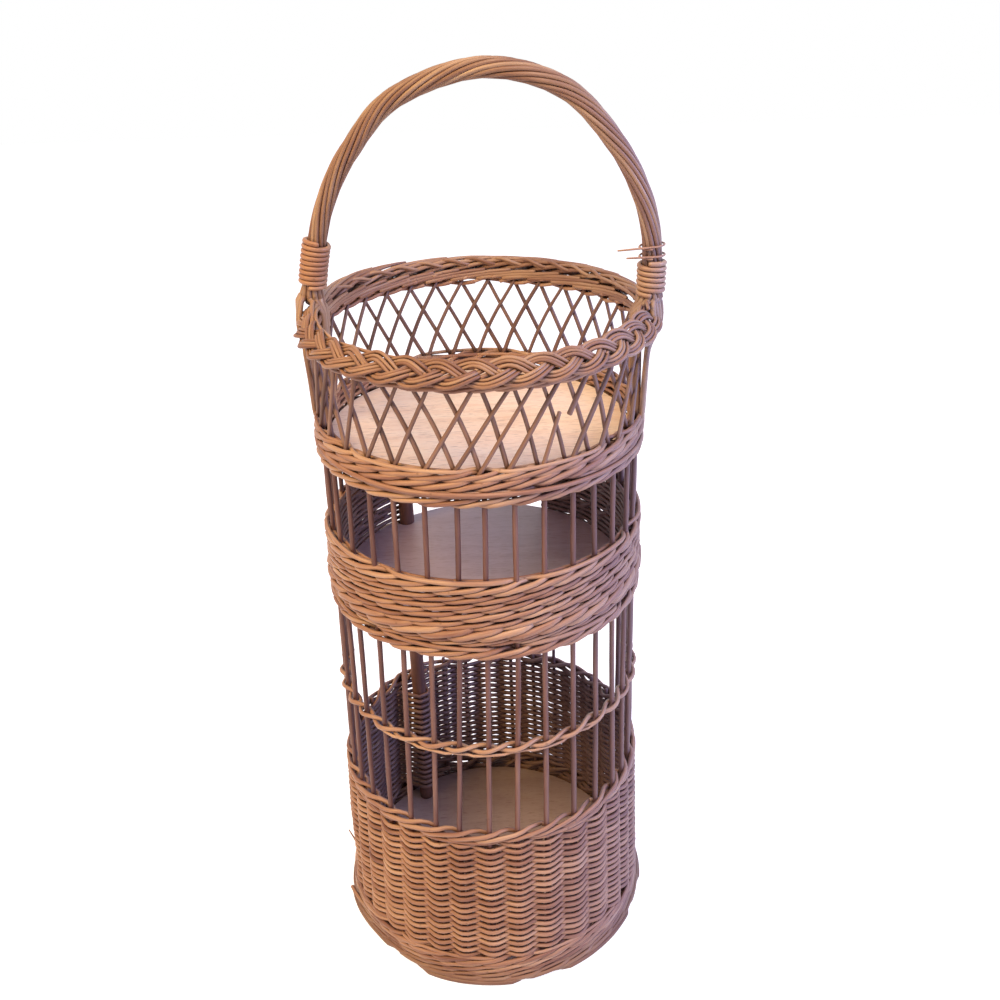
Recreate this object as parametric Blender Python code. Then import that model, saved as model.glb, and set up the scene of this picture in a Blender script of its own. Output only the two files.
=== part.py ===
"""Tall round wicker stand with three wooden shelves, twined bands, a lattice and a hoop handle."""
import math

import bmesh
import bpy
from mathutils import Vector

for existing in list(bpy.data.objects):
    bpy.data.objects.remove(existing, do_unlink=True)

# Clearances
seat_gap = 0.0003
handle_fit_gap = 0.0009
cut_overrun = 0.002

# Rods: radii of the willow rods, and how many stakes stand round the basket
stake_count = 34
stake_radius = 0.0025
edge_stake_radius = 0.0021
lattice_rod_radius = 0.0020
pairing_rod_radius = 0.0023
weaver_thickness = 0.0038
tucked_weaver_thickness = 0.0019
binding_rod_radius = 0.0021

# Circle that the stakes stand on: its radius at the top, and how far it flares out lower down
top_circle_radius = 0.1567
middle_flare = 0.0010
rim_flare = 0.0043
foot_flare = 0.0113

# Heights, stacked from the floor upwards
foot_height = 0.0260
lower_wall_height = 0.1897
lower_tier_height = 0.2118
middle_band_height = 0.0930
middle_tier_height = 0.0770
top_band_height = 0.0320
lattice_height = 0.0730
wale_outer_height = 0.0105

# Boards: plywood discs that lie on a ledge of weave
board_thickness = 0.0055
ledge_height = 0.0045
ledge_depth = 0.0060

# Foot border: how far it stands out past the weave, and how far its ledge reaches in from the stakes
foot_overhang = 0.0007
foot_ledge_reach = 0.0160
foot_ledge_height = 0.0140
foot_stroke_depth = 0.0016

# Lower wall: rows of the relief, hollows of the rim between the stakes, and the thicker rim rods
wall_relief_rows = 12
wall_crossing_share = 0.55
wall_hollow_depth = 0.0022
rim_height = 0.0120
rim_swell = 0.0016

# Woven rows in the three waled bands; each rod goes behind one stake of the repeat
wale_repeat = 3
middle_band_rows = 6
top_band_rows = 5
upper_wale_rows = 3
middle_band_first_position = -13.5
middle_band_last_position = 14.4

# Twined ring in the lower tier
pairing_height = 0.1063
pairing_last_position = 9.55
pairing_points_per_stake = 3

# Plaited border that slants down over the rim
border_slant = math.radians(42.0)
border_half_width = 0.0145
border_half_thickness = 0.0050
border_plait_swell = 0.0018
border_edge_swell = 0.0020
border_overhang = 0.0030
border_section_sides = 8
border_top_share = 0.1

# Posts that stiffen the open back
rear_post_azimuth = math.radians(-141.0)
rear_post_radius = 0.0085
rear_post_sides = 12
post_notch_steps = 8
side_post_radius = 0.0035
side_post_position = 10
edge_stake_position = 14

# Stakes that stand off their place: shares of the space from stake to stake, at the lower rim,
# under the middle band and at the top
stake_drift_shares = {
    -5: (-0.09, -0.12, 0.05),
    -4: (-0.07, -0.01, 0.15),
    -3: (-0.11, 0.04, 0.08),
    -2: (-0.10, 0.10, 0.19),
    -1: (-0.22, 0.07, 0.24),
    0: (-0.17, -0.01, 0.07),
    1: (-0.17, -0.01, 0.00),
    2: (-0.11, -0.07, -0.03),
    3: (0.02, 0.01, -0.03),
    4: (0.07, 0.06, -0.19),
    5: (0.15, 0.02, -0.17),
}

# Lattice: where its rods start and how far they lean, as shares of the space from stake to stake
lattice_foot_share = 0.1036
lattice_swing_share = 1.3635
lattice_layer = 0.0010

# Lattice rods at the front that lean their own way: shares at which the foot and the head stand
right_leaning_shares = {
    -6: (-5.95, -5.08),
    -5: (-4.78, -4.03),
    -4: (-3.74, -2.49),
    -3: (-2.68, -1.52),
    -2: (-1.66, -0.21),
    -1: (-0.75, 0.86),
    0: (0.03, 1.57),
    1: (0.88, 2.40),
    2: (1.93, 2.77),
    3: (2.97, 4.58),
}
left_leaning_shares = {
    -4: (-3.96, -5.10),
    -3: (-2.89, -4.10),
    -2: (-1.80, -3.15),
    -1: (-0.87, -2.03),
    0: (-0.07, -1.03),
    1: (0.79, 0.08),
    2: (1.74, 1.05),
    3: (2.69, 1.95),
    4: (3.63, 2.81),
    5: (4.58, 3.82),
}
broken_rod_position = 2
broken_rod_end_share = 0.62
stub_shares = (2.08, 3.43)
stub_start_share = 0.555

# Hoop handle: feet and tails by their distance from the stakes' circle, rise and grip
handle_left_azimuth = math.radians(-100.0)
handle_right_azimuth = math.radians(86.0)
handle_left_reach = 0.0046
handle_right_reach = 0.0093
handle_tail_reach = 0.0099
handle_foot_lift = 0.0120
handle_rise = 0.2050
handle_leg_grip = 0.0094
handle_top_grip = 0.0096
handle_tail_half_thickness = 0.0028
handle_tail_half_width = 0.0095
handle_lobe_depth = 0.0014
handle_rods = 11
handle_turns = 2.15
handle_step = 0.0135
handle_curve_pieces = 12

# Outline of the hoop: shares of the span between the feet and of the rise
hoop_shares = (
    (0.000, 0.000),
    (0.028, 0.232),
    (0.074, 0.456),
    (0.152, 0.664),
    (0.287, 0.883),
    (0.526, 1.000),
    (0.748, 0.915),
    (0.893, 0.682),
    (0.969, 0.456),
    (0.999, 0.251),
    (1.000, 0.000),
)

# Bow ends: a fan of rods outside the lattice, below each foot of the handle
left_fan_azimuth = math.radians(-82.0)
right_fan_azimuth = math.radians(78.0)
fan_foot_half_width = 0.0085
fan_head_half_width = 0.0150
fan_thickness = 0.0045
fan_groove_depth = 0.0012
fan_flare = 0.0045
fan_rods = 4
fan_steps = 3

# Bindings wound round the feet of the handle
binding_pitch = 0.0050
binding_points_per_loop = 16
left_binding_loops = 9
right_binding_loops = 7
right_loose_loops = 1
right_loose_pitch = 0.0095
left_binding_lift = 0.0125
right_binding_lift = 0.0045
left_end_length = 0.0060
right_end_length = 0.0300

# Finishes: sRGB colours of the dry rods and of the boards
rod_colour = (0.72, 0.53, 0.38)
stake_colour = (0.60, 0.44, 0.37)
lattice_colour = (0.62, 0.45, 0.36)
wall_colour = (0.66, 0.48, 0.36)
board_colour = (0.80, 0.66, 0.53)
rod_roughness = 0.6
board_roughness = 0.5
sharp_edge_angle = math.radians(40.0)

# Radii worked out from the stakes' circle
middle_circle_radius = top_circle_radius + middle_flare
rim_circle_radius = top_circle_radius + rim_flare
foot_circle_radius = top_circle_radius + foot_flare
foot_outer_radius = foot_circle_radius + stake_radius + weaver_thickness + foot_overhang
foot_ledge_radius = foot_circle_radius - foot_ledge_reach
handle_left_radius = top_circle_radius + handle_left_reach
handle_right_radius = top_circle_radius + handle_right_reach
handle_tail_radius = top_circle_radius - handle_tail_reach

# Levels worked out from the stacked heights
wall_bottom = foot_height + seat_gap
wall_top = foot_height + lower_wall_height
middle_bottom = wall_top + lower_tier_height
middle_top = middle_bottom + middle_band_height
top_bottom = middle_top + middle_tier_height
top_top = top_bottom + top_band_height
wale_bottom = top_top + lattice_height
base_board_bottom = foot_ledge_height + seat_gap
middle_board_bottom = middle_bottom + ledge_height + seat_gap
top_board_bottom = top_bottom + ledge_height + seat_gap
weave_half = stake_radius + weaver_thickness
tucked_half = stake_radius + tucked_weaver_thickness
crossing_half = weaver_thickness * wall_crossing_share
stake_top = top_top - ledge_height
step_angle = math.tau / stake_count

stake_path = (
    (wall_bottom, foot_circle_radius),
    (wall_top, rim_circle_radius),
    (middle_bottom, middle_circle_radius),
    (top_top, top_circle_radius),
)


def circle_at(height):
    """Radius of the stakes' circle at a height, straight between the levels of the path."""
    for (low, low_radius), (high, high_radius) in zip(stake_path, stake_path[1:]):
        if height <= high:
            return low_radius + (high_radius - low_radius) * (height - low) / (high - low)
    return stake_path[-1][1]


def around(azimuth, radius, height):
    """Point on the basket: azimuth 0 is the front, and it grows towards +X."""
    return Vector((radius * math.sin(azimuth), -radius * math.cos(azimuth), height))


def loft(sections, closed=False):
    """Closed body through a row of like sections; its ends are capped unless it closes on itself."""
    bm = bmesh.new()
    rings = [[bm.verts.new(point) for point in section] for section in sections]
    pairs = list(zip(rings, rings[1:]))
    if closed:
        pairs.append((rings[-1], rings[0]))
    else:
        bm.faces.new(rings[0])
        bm.faces.new(rings[-1])
    for ring, following in pairs:
        for near, far in zip(range(len(ring)), list(range(1, len(ring))) + [0]):
            bm.faces.new((ring[near], ring[far], following[far], following[near]))
    bmesh.ops.recalc_face_normals(bm, faces=bm.faces)
    return bm


def polygon(sides, radius, second_radius=None):
    """Corners of a round or oval section."""
    other = radius if second_radius is None else second_radius
    turn = math.tau / sides
    return [(radius * math.cos(turn * n), other * math.sin(turn * n)) for n in range(sides)]


def across(point, tangent, reference, section):
    """Puts a flat section square to a path; its first axis lies along the reference."""
    side = tangent.cross(reference).normalized()
    front = side.cross(tangent).normalized()
    return [point + front * first + side * second for first, second in section]


def tangents_of(points):
    """Direction of a path at each of its points."""
    ahead = points[1:] + points[-1:]
    behind = points[:1] + points[:-1]
    return [(after - before).normalized() for before, after in zip(behind, ahead)]


def finish(name, bm, colour, roughness=rod_roughness):
    """Makes the object, its own material and its smooth shading."""
    mesh = bpy.data.meshes.new(name)
    bm.to_mesh(mesh)
    bm.free()
    mesh.shade_smooth()
    mesh.set_sharp_from_angle(angle=sharp_edge_angle)
    piece = bpy.data.objects.new(name, mesh)
    bpy.context.scene.collection.objects.link(piece)
    paint(piece, colour, roughness)
    return piece


def paint(piece, colour, roughness):
    """Principled material of the piece."""
    material = bpy.data.materials.new(piece.name)
    material.use_nodes = True
    shader = material.node_tree.nodes["Principled BSDF"]
    linear = [channel ** 2.2 for channel in colour]
    shader.inputs["Base Color"].default_value = (*linear, 1.0)
    shader.inputs["Roughness"].default_value = roughness
    shader.inputs["Metallic"].default_value = 0.0
    piece.data.materials.append(material)


def as_cutter(name, bm):
    """Hidden body that only cuts its neighbours."""
    piece = finish(name, bm, board_colour)
    piece.hide_render = True
    piece.display_type = 'WIRE'
    return piece


def combine(piece, other, operation):
    """Boolean of a piece with one other body."""
    cut = piece.modifiers.new(operation.title(), 'BOOLEAN')
    cut.operation = operation
    cut.solver = 'EXACT'
    cut.object = other


def azimuth_at(position, height):
    """Where a stake stands at a height; the drift runs straight from level to level."""
    at_rim, at_middle, at_top = stake_drift_shares.get(position, (0.0, 0.0, 0.0))
    if height <= wall_top:
        drift = at_rim
    elif height <= middle_bottom:
        drift = at_rim + (at_middle - at_rim) * (height - wall_top) / (middle_bottom - wall_top)
    else:
        drift = at_middle + (at_top - at_middle) * (height - middle_bottom) / (stake_top - middle_bottom)
    return (position + drift) * step_angle


def azimuth_between(position, height):
    """The same for any place from one stake to the next."""
    before = math.floor(position)
    share = position - before
    return azimuth_at(before, height) * (1.0 - share) + azimuth_at(before + 1, height) * share


def upright_rod(position, radius, levels, sides):
    """Sections of a rod that follows the stakes' circle through the given heights."""
    points = [around(azimuth_at(position, level), circle_at(level), level) for level in levels]
    section = polygon(sides, radius)
    return [
        across(point, tangent, around(azimuth_at(position, level), 1.0, 0.0), section)
        for point, tangent, level in zip(points, tangents_of(points), levels)
    ]


def joined_rods(rods):
    """One mesh that holds several rods, each still a closed body."""
    whole = bmesh.new()
    for sections in rods:
        part = loft(sections)
        mesh = bpy.data.meshes.new("rod")
        part.to_mesh(mesh)
        part.free()
        whole.from_mesh(mesh)
        bpy.data.meshes.remove(mesh)
    return whole


# Stakes: where each kind stands, and the channels that the weave leaves round them
full_positions = range(-9, 10)
short_positions = (-12, -11, -10, 11, 12, 13)
rod_sides = 6
post_sides = 8


def stands():
    """Every upright rod: name, position, radius, heights and number of sides."""
    rows = []
    full_levels = (wall_bottom, wall_top, middle_bottom, stake_top)
    short_levels = (middle_bottom, stake_top)
    for number, position in enumerate(full_positions, 1):
        rows.append((f"stake_{number:02d}", position, stake_radius, full_levels, rod_sides))
    for number, position in enumerate(short_positions, 1):
        rows.append((f"short_stake_{number}", position, stake_radius, short_levels, rod_sides))
    rows.append(("rear_edge_stake", edge_stake_position, edge_stake_radius, full_levels, rod_sides))
    rows.append(("side_post", side_post_position, side_post_radius, full_levels, post_sides))
    return rows


def channels(low, high, low_reach, high_reach):
    """Bores for the upright rods that pass between two heights of one woven ring."""
    rods = []
    for _, position, radius, levels, sides in uprights:
        if levels[0] > low + seat_gap:
            continue
        bore = (radius + seat_gap) / math.cos(math.pi / sides)
        rows = upright_rod(position, bore, (low, high), sides)
        outward = (Vector(rows[1][0]) - Vector(rows[0][0])).normalized()
        rows[0] = [point - outward * low_reach for point in rows[0]]
        rows[1] = [point + outward * high_reach for point in rows[1]]
        rods.append(rows)
    return rods


uprights = stands()
for upright_name, upright_position, upright_radius, upright_levels, upright_sides in uprights:
    upright = loft(upright_rod(upright_position, upright_radius, upright_levels, upright_sides))
    finish(upright_name, upright, stake_colour)


# Rear post: a thick stick inside the weave, from the base board to the top board
inner_clear = min(circle_at(middle_bottom), circle_at(top_bottom)) - weave_half - seat_gap
rear_post_centre = inner_clear - rear_post_radius
base_board_top = base_board_bottom + board_thickness


def rear_post_section(level):
    """Round section of the straight post."""
    centre = around(rear_post_azimuth, rear_post_centre, level)
    corners = polygon(rear_post_sides, rear_post_radius)
    return [centre + Vector((first, second, 0.0)) for first, second in corners]


rear_post = loft([
    rear_post_section(base_board_top + seat_gap),
    rear_post_section(top_board_bottom - seat_gap),
])
finish("rear_post", rear_post, stake_colour)


def post_notch(low, high, reach):
    """Upright slot round the post, open towards the outside as far as the reach."""
    bore = rear_post_radius + seat_gap
    outward = around(rear_post_azimuth, 1.0, 0.0)
    sideways = Vector((-outward.y, outward.x, 0.0))
    half_turns = [math.pi * n / post_notch_steps for n in range(post_notch_steps + 1)]
    far = outward * (reach - rear_post_centre)
    sections = []
    for level in (low, high):
        centre = around(rear_post_azimuth, rear_post_centre, level)
        arc = [
            centre + sideways * (bore * math.cos(turn)) - outward * (bore * math.sin(turn))
            for turn in half_turns
        ]
        sections.append(arc + [arc[-1] + far, arc[0] + far])
    return sections


# Foot border: flat underneath, with slanting strokes, and a ledge inside for the base board
def foot_section(column):
    """Outline of the foot at one column; every second column holds a stroke."""
    deep = foot_stroke_depth if column % 2 else 0.0
    azimuth = column * step_angle / 2
    inner_wall = circle_at(wall_bottom) - weave_half
    outline = (
        (foot_ledge_radius, 0.0),
        (foot_outer_radius - weaver_thickness, 0.0),
        (foot_outer_radius - foot_stroke_depth + deep, foot_height / 4),
        (foot_outer_radius - deep, foot_height * 3 / 4),
        (foot_outer_radius - foot_stroke_depth, foot_height),
        (inner_wall, foot_height),
        (inner_wall, foot_ledge_height),
        (foot_ledge_radius, foot_ledge_height),
    )
    return [around(azimuth, radius, height) for radius, height in outline]


foot = loft([foot_section(column) for column in range(stake_count * 2)], closed=True)
finish("foot_border", foot, wall_colour)


# Lower wall: plain weave, in front of one stake and behind the next, with the rim rods on top
def lower_wall_section(column):
    """Outline of the wall at a stake, or half way between two, where the rods of all rows cross."""
    position = column / 2
    at_stake = column % 2 == 0
    rim_bottom = wall_top - rim_height
    hollow = 0.0 if at_stake else wall_hollow_depth
    row_height = (rim_bottom - wall_bottom) / wall_relief_rows
    outside = []
    inside = []
    for row in range(wall_relief_rows):
        level = wall_bottom + row_height * (row + 0.5)
        in_front = (column // 2 + row) % 2 == 0
        front_half, back_half = (weave_half, tucked_half) if in_front else (tucked_half, weave_half)
        outside.append((level, front_half if at_stake else crossing_half))
        inside.append((level, back_half if at_stake else crossing_half))
    edge_half = tucked_half if at_stake else crossing_half
    outside = [(wall_bottom, edge_half)] + outside + [
        (rim_bottom, edge_half),
        (rim_bottom + rim_height / 3, weave_half + rim_swell - hollow / 2),
        (wall_top - rim_height / 3, weave_half + rim_swell - hollow / 2),
        (wall_top, tucked_half + (rim_swell - hollow) / 2),
    ]
    inside = [(wall_bottom, edge_half)] + inside + [(wall_top, tucked_half)]
    outer = [
        around(azimuth_between(position, level), circle_at(level) + half, level)
        for level, half in outside
    ]
    inner = [
        around(azimuth_between(position, level), circle_at(level) - half, level)
        for level, half in reversed(inside)
    ]
    return outer + inner


lower_wall_mesh = loft([
    lower_wall_section(column) for column in range(-stake_count, stake_count)
], closed=True)
lower_wall = finish("lower_wall", lower_wall_mesh, wall_colour)
wall_channels = channels(wall_bottom, wall_top, cut_overrun, cut_overrun)
combine(lower_wall, as_cutter("lower_wall_channels", joined_rods(wall_channels)), 'DIFFERENCE')


# Waled bands: each rod runs in front of two stakes and behind one, a step further in each row
def wale_outline(position, low, high, rows):
    """Outer points of a waled ring at one position, from the bottom row to the top."""
    row_height = (high - low) / rows
    valley = (weave_half + tucked_half) / 2
    outline = [(low, tucked_half)]
    for row in range(rows):
        behind = (round(position) + row) % wale_repeat == 0
        outline.append((low + row_height * (row + 0.5), tucked_half if behind else weave_half))
        if row < rows - 1:
            outline.append((low + row_height * (row + 1), valley))
    outline.append((high, tucked_half))
    return outline


def band_section(position, low, high, rows):
    """Full outline of a band with the ledge that carries its board."""
    azimuth = position * step_angle
    outer = [
        around(azimuth, circle_at(level) + offset, level)
        for level, offset in wale_outline(position, low, high, rows)
    ]
    ledge_top = low + ledge_height
    inner = [
        around(azimuth, circle_at(high) - tucked_half, high),
        around(azimuth, circle_at(ledge_top) - weave_half, ledge_top),
        around(azimuth, circle_at(ledge_top) - weave_half - ledge_depth, ledge_top),
        around(azimuth, circle_at(low) - weave_half - ledge_depth, low),
    ]
    return outer + inner


middle_positions = [middle_band_first_position]
middle_positions += range(math.ceil(middle_band_first_position), math.floor(middle_band_last_position) + 1)
middle_positions += [middle_band_last_position]
middle_band = finish("middle_band", loft([
    band_section(position, middle_bottom, middle_top, middle_band_rows)
    for position in middle_positions
]), rod_colour)
notch_top = middle_board_bottom + board_thickness + cut_overrun
middle_notch = post_notch(middle_bottom - cut_overrun, notch_top, inner_clear + seat_gap)
middle_channels = channels(middle_bottom, middle_top, cut_overrun, cut_overrun)
middle_cutter = as_cutter("middle_band_channels", joined_rods(middle_channels + [middle_notch]))
combine(middle_band, middle_cutter, 'DIFFERENCE')

top_band = finish("top_band", loft([
    band_section(position, top_bottom, top_top, top_band_rows) for position in range(stake_count)
], closed=True), rod_colour)
top_notch = post_notch(top_bottom - cut_overrun, top_board_bottom, inner_clear + seat_gap)
top_channels = channels(top_bottom, stake_top, cut_overrun, seat_gap)
top_cutter = as_cutter("top_band_channels", joined_rods(top_channels + [top_notch]))
combine(top_band, top_cutter, 'DIFFERENCE')


# Boards: plain plywood discs with eased edges
def board(name, radius, bottom):
    """One disc, its upper and lower edges eased."""
    bm = bmesh.new()
    bmesh.ops.create_cone(
        bm, cap_ends=True, segments=stake_count * 2, radius1=radius, radius2=radius, depth=board_thickness)
    bmesh.ops.translate(bm, verts=bm.verts, vec=(0.0, 0.0, bottom + board_thickness / 2))
    return finish(name, bm, board_colour, board_roughness)


board_corner = math.cos(math.pi / stake_count)
base_inner = (circle_at(base_board_bottom + board_thickness) - weave_half) * board_corner
board("base_board", base_inner - seat_gap, base_board_bottom)
middle_inner = (circle_at(middle_board_bottom + board_thickness) - weave_half) * board_corner
middle_board = board("middle_shelf_board", middle_inner - seat_gap, middle_board_bottom)
board_notch = post_notch(middle_bottom - cut_overrun, notch_top, middle_inner + cut_overrun)
combine(middle_board, as_cutter("middle_post_notch", loft(board_notch)), 'DIFFERENCE')
top_inner = (circle_at(top_board_bottom + board_thickness) - weave_half) * board_corner
board("top_shelf_board", top_inner - seat_gap, top_board_bottom)


# Twined ring: two rods that cross between the stakes, one in front of each stake, one behind
def pairing_rod(name, phase):
    """One of the two rods, on an oval spiral round the line of the stakes."""
    level = wall_top + pairing_height
    swing = stake_radius + pairing_rod_radius + seat_gap
    flat = math.sin(math.pi / pairing_points_per_stake)
    lift = (pairing_rod_radius + seat_gap) / flat
    reach = round(pairing_last_position * pairing_points_per_stake)
    points = []
    outwards = []
    for number in range(-reach, reach + 1):
        position = number / pairing_points_per_stake
        turn = math.pi * position + phase
        height = level + lift * math.sin(turn)
        azimuth = azimuth_between(position, level)
        points.append(around(azimuth, circle_at(height) + swing * math.cos(turn), height))
        outwards.append(around(azimuth, 1.0, 0.0))
    section = polygon(rod_sides, pairing_rod_radius)
    sections = [
        across(point, tangent, outward, section)
        for point, tangent, outward in zip(points, tangents_of(points), outwards)
    ]
    finish(name, loft(sections), rod_colour)


pairing_rod("pairing_rod_1", 0.0)
pairing_rod("pairing_rod_2", math.pi)


# Lattice: from every stake position one rod leans left and one leans right, bound where they cross
def leaning_rod(direction, foot, head, start_share=0.0, end_share=1.0):
    """One rod from its foot to its head, or a part of it, cut level at both ends."""
    low = top_top + seat_gap
    high = wale_bottom - seat_gap
    layer = top_circle_radius + direction * lattice_layer
    swing = (head - foot) * step_angle
    stretch = math.hypot(1.0, swing * layer / (high - low))
    middle = around(foot * step_angle + swing / 2, 1.0, 0.0)
    along = Vector((-middle.y, middle.x, 0.0))
    bottom = around(foot * step_angle, layer, low)
    top = around(head * step_angle, layer, high)
    return [
        [
            bottom.lerp(top, share) + middle * second + along * (first * stretch)
            for first, second in polygon(rod_sides, lattice_rod_radius)
        ]
        for share in (start_share, end_share)
    ]


def lattice_rods(direction, own_shares):
    """All rods that lean one way; those at the front have shares of their own."""
    rods = []
    for position in range(-stake_count // 2, stake_count - stake_count // 2):
        start = position + direction * lattice_foot_share
        foot, head = own_shares.get(position, (start, start + direction * lattice_swing_share))
        broken = direction > 0 and position == broken_rod_position
        rods.append(leaning_rod(direction, foot, head, 0.0, broken_rod_end_share if broken else 1.0))
    return rods


right_leaning = lattice_rods(1, right_leaning_shares)
right_leaning.append(leaning_rod(1, *stub_shares, stub_start_share, 1.0))
lattice = finish("lattice", joined_rods(right_leaning), lattice_colour)
left_leaning = as_cutter("left_leaning_rods", joined_rods(lattice_rods(-1, left_leaning_shares)))
combine(lattice, left_leaning, 'UNION')


# Bow ends: the fan stands on the top band, close outside the lattice, and flares out upwards
def bow_fan(name, centre_azimuth):
    """Strip that follows the circle, with a groove between each two rods."""
    inner_foot = top_circle_radius + lattice_layer + lattice_rod_radius + seat_gap
    low = top_top + seat_gap
    high = wale_bottom - seat_gap
    sections = []
    for number in range(fan_steps + 1):
        share = number / fan_steps
        inner = inner_foot + fan_flare * share
        half_width = fan_foot_half_width + (fan_head_half_width - fan_foot_half_width) * share
        spread = half_width / inner / fan_rods
        columns = range(-fan_rods, fan_rods + 1)
        level = low + (high - low) * share
        outer = [
            around(
                centre_azimuth + column * spread,
                inner + fan_thickness - (fan_groove_depth if column % 2 == fan_rods % 2 else 0.0),
                level)
            for column in columns
        ]
        inside = [around(centre_azimuth + column * spread, inner, level) for column in reversed(columns)]
        sections.append(outer + inside)
    finish(name, loft(sections), rod_colour)


bow_fan("bow_ends_left", left_fan_azimuth)
bow_fan("bow_ends_right", right_fan_azimuth)


# Upper wale: three rows under the border, with a slanting top that the border lies on
wale_outer_top = wale_bottom + wale_outer_height
wale_inner_top = wale_outer_top + (weave_half + tucked_half) * math.tan(border_slant)


def upper_wale_section(position):
    """Outline of the wale; its top follows the slant of the border."""
    outline = [
        (level, top_circle_radius + offset)
        for level, offset in wale_outline(position, wale_bottom, wale_outer_top, upper_wale_rows)
    ]
    outline.append((wale_inner_top, top_circle_radius - weave_half))
    outline.append((wale_bottom, top_circle_radius - weave_half))
    return [around(position * step_angle, radius, level) for level, radius in outline]


finish("upper_wale", loft([
    upper_wale_section(position) for position in range(stake_count)
], closed=True), rod_colour)


# Plaited border: a flat plait laid over the rim, its strokes swelling in turn
border_edge = Vector((top_circle_radius + tucked_half, wale_outer_top))


def border_section(column):
    """Slanting oval with raised strokes, one every half stake, that step across the plait."""
    azimuth = column * step_angle / 2
    outward = Vector((math.cos(border_slant), -math.sin(border_slant)))
    upward = Vector((math.sin(border_slant), math.cos(border_slant)))
    lift = border_half_thickness + seat_gap / math.cos(math.pi / stake_count)
    centre = border_edge - outward * (weave_half - border_overhang) + upward * lift
    points = []
    for number, (first, second) in enumerate(polygon(border_section_sides, 1.0)):
        raised = (number + column) % 2 == 0
        wide = border_half_width + (border_edge_swell if raised else 0.0)
        thick = border_half_thickness
        if second > border_top_share and raised:
            thick += border_plait_swell
        place = centre + outward * (first * wide) + upward * (second * thick)
        points.append(around(azimuth, place.x, place.y))
    return points


plaited_border = finish("plaited_border", loft([
    border_section(column) for column in range(stake_count * 2)
], closed=True), rod_colour)


# Handle: a hoop of twisted rods in one upright plane; its tails run down inside to the top board
left_foot = around(handle_left_azimuth, handle_left_radius, 0.0)
right_foot = around(handle_right_azimuth, handle_right_radius, 0.0)
handle_span = (right_foot - left_foot).length
handle_axis = (right_foot - left_foot).normalized()
handle_side = Vector((handle_axis.y, -handle_axis.x, 0.0))
handle_base = wale_outer_top + handle_foot_lift + border_half_thickness * 2
tail_end = top_board_bottom + board_thickness + seat_gap


def smooth_path(points, pieces):
    """Curve through the points, each stretch cut into the given number of pieces."""
    path = []
    for index in range(len(points) - 1):
        before = points[max(index - 1, 0)]
        start, end = points[index], points[index + 1]
        after = points[min(index + 2, len(points) - 1)]
        for number in range(pieces):
            share = number / pieces
            path.append(0.5 * (
                2.0 * start
                + (end - before) * share
                + (2.0 * before - 5.0 * start + 4.0 * end - after) * share ** 2
                + (3.0 * start - before - 3.0 * end + after) * share ** 3
            ))
    path.append(points[-1])
    return path


def evenly(path, step):
    """Points of a path at equal distances."""
    lengths = [0.0]
    for near, far in zip(path, path[1:]):
        lengths.append(lengths[-1] + (far - near).length)
    count = max(2, round(lengths[-1] / step))
    points = []
    index = 0
    for number in range(count + 1):
        wanted = lengths[-1] * number / count
        while index < len(lengths) - 2 and lengths[index + 1] < wanted:
            index += 1
        share = (wanted - lengths[index]) / (lengths[index + 1] - lengths[index])
        points.append(path[index].lerp(path[index + 1], share))
    return points


def hoop_point(along, height):
    """Point in the plane of the hoop, by its distance from the left foot and its height."""
    return left_foot + handle_axis * along + Vector((0.0, 0.0, height))


hoop_corners = [
    hoop_point(across_share * handle_span, handle_base + up_share * handle_rise)
    for across_share, up_share in hoop_shares
]
hoop_path = evenly(smooth_path(hoop_corners, handle_curve_pieces), handle_step)


def tail_path(foot, inset, direction):
    """Three points of a tail, from its end on the top board up to just under the hoop."""
    inside = foot + direction * inset
    return [
        (inside, tail_end),
        (inside, wale_bottom),
        (inside, wale_inner_top + handle_tail_half_thickness),
    ]


left_tail = tail_path(0.0, handle_left_radius - handle_tail_radius, 1.0)
right_tail = tail_path(handle_span, handle_right_radius - handle_tail_radius, -1.0)
handle_points = [hoop_point(*place) for place in left_tail]
handle_points += hoop_path
handle_points += [hoop_point(*place) for place in reversed(right_tail)]
tail_count = len(left_tail)


def handle_sections(extra):
    """Lobed sections along the handle: flat in the tails, round and turning in the hoop."""
    sections = []
    last = len(handle_points) - 1
    sides = handle_rods * 2
    upright = Vector((0.0, 0.0, 1.0))
    directions = [upright] * tail_count + tangents_of(hoop_path) + [-upright] * tail_count
    for number, (point, tangent) in enumerate(zip(handle_points, directions)):
        hoop_share = (number - tail_count) / (last - 2 * tail_count)
        in_hoop = 0.0 <= hoop_share <= 1.0
        turn = math.tau * handle_turns * min(max(hoop_share, 0.0), 1.0)
        grip = handle_leg_grip + (handle_top_grip - handle_leg_grip) * math.sin(math.pi * hoop_share)
        outline = []
        for corner in range(sides):
            angle = math.tau * corner / sides - turn
            lobe = handle_lobe_depth if corner % 2 else 0.0
            wide = grip if in_hoop else handle_tail_half_width
            thin = grip - lobe if in_hoop else handle_tail_half_thickness
            outline.append(((wide - lobe + extra) * math.cos(angle), (thin + extra) * math.sin(angle)))
        sections.append(across(point, tangent, handle_side, outline))
    return sections


finish("handle", loft(handle_sections(0.0)), rod_colour)
handle_space = as_cutter("handle_space", loft(handle_sections(handle_fit_gap)))
combine(plaited_border, handle_space, 'DIFFERENCE')


# Bindings: one rod wound round each foot of the handle
def path_at(points, distance):
    """Point and direction on a path, by the distance from its first point."""
    directions = tangents_of(points)
    travelled = 0.0
    for number, (near, far) in enumerate(zip(points, points[1:])):
        length = (far - near).length
        if travelled + length >= distance:
            share = (distance - travelled) / length
            direction = directions[number].lerp(directions[number + 1], share)
            return near.lerp(far, share), direction.normalized()
        travelled += length
    return points[-1], directions[-1]


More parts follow.
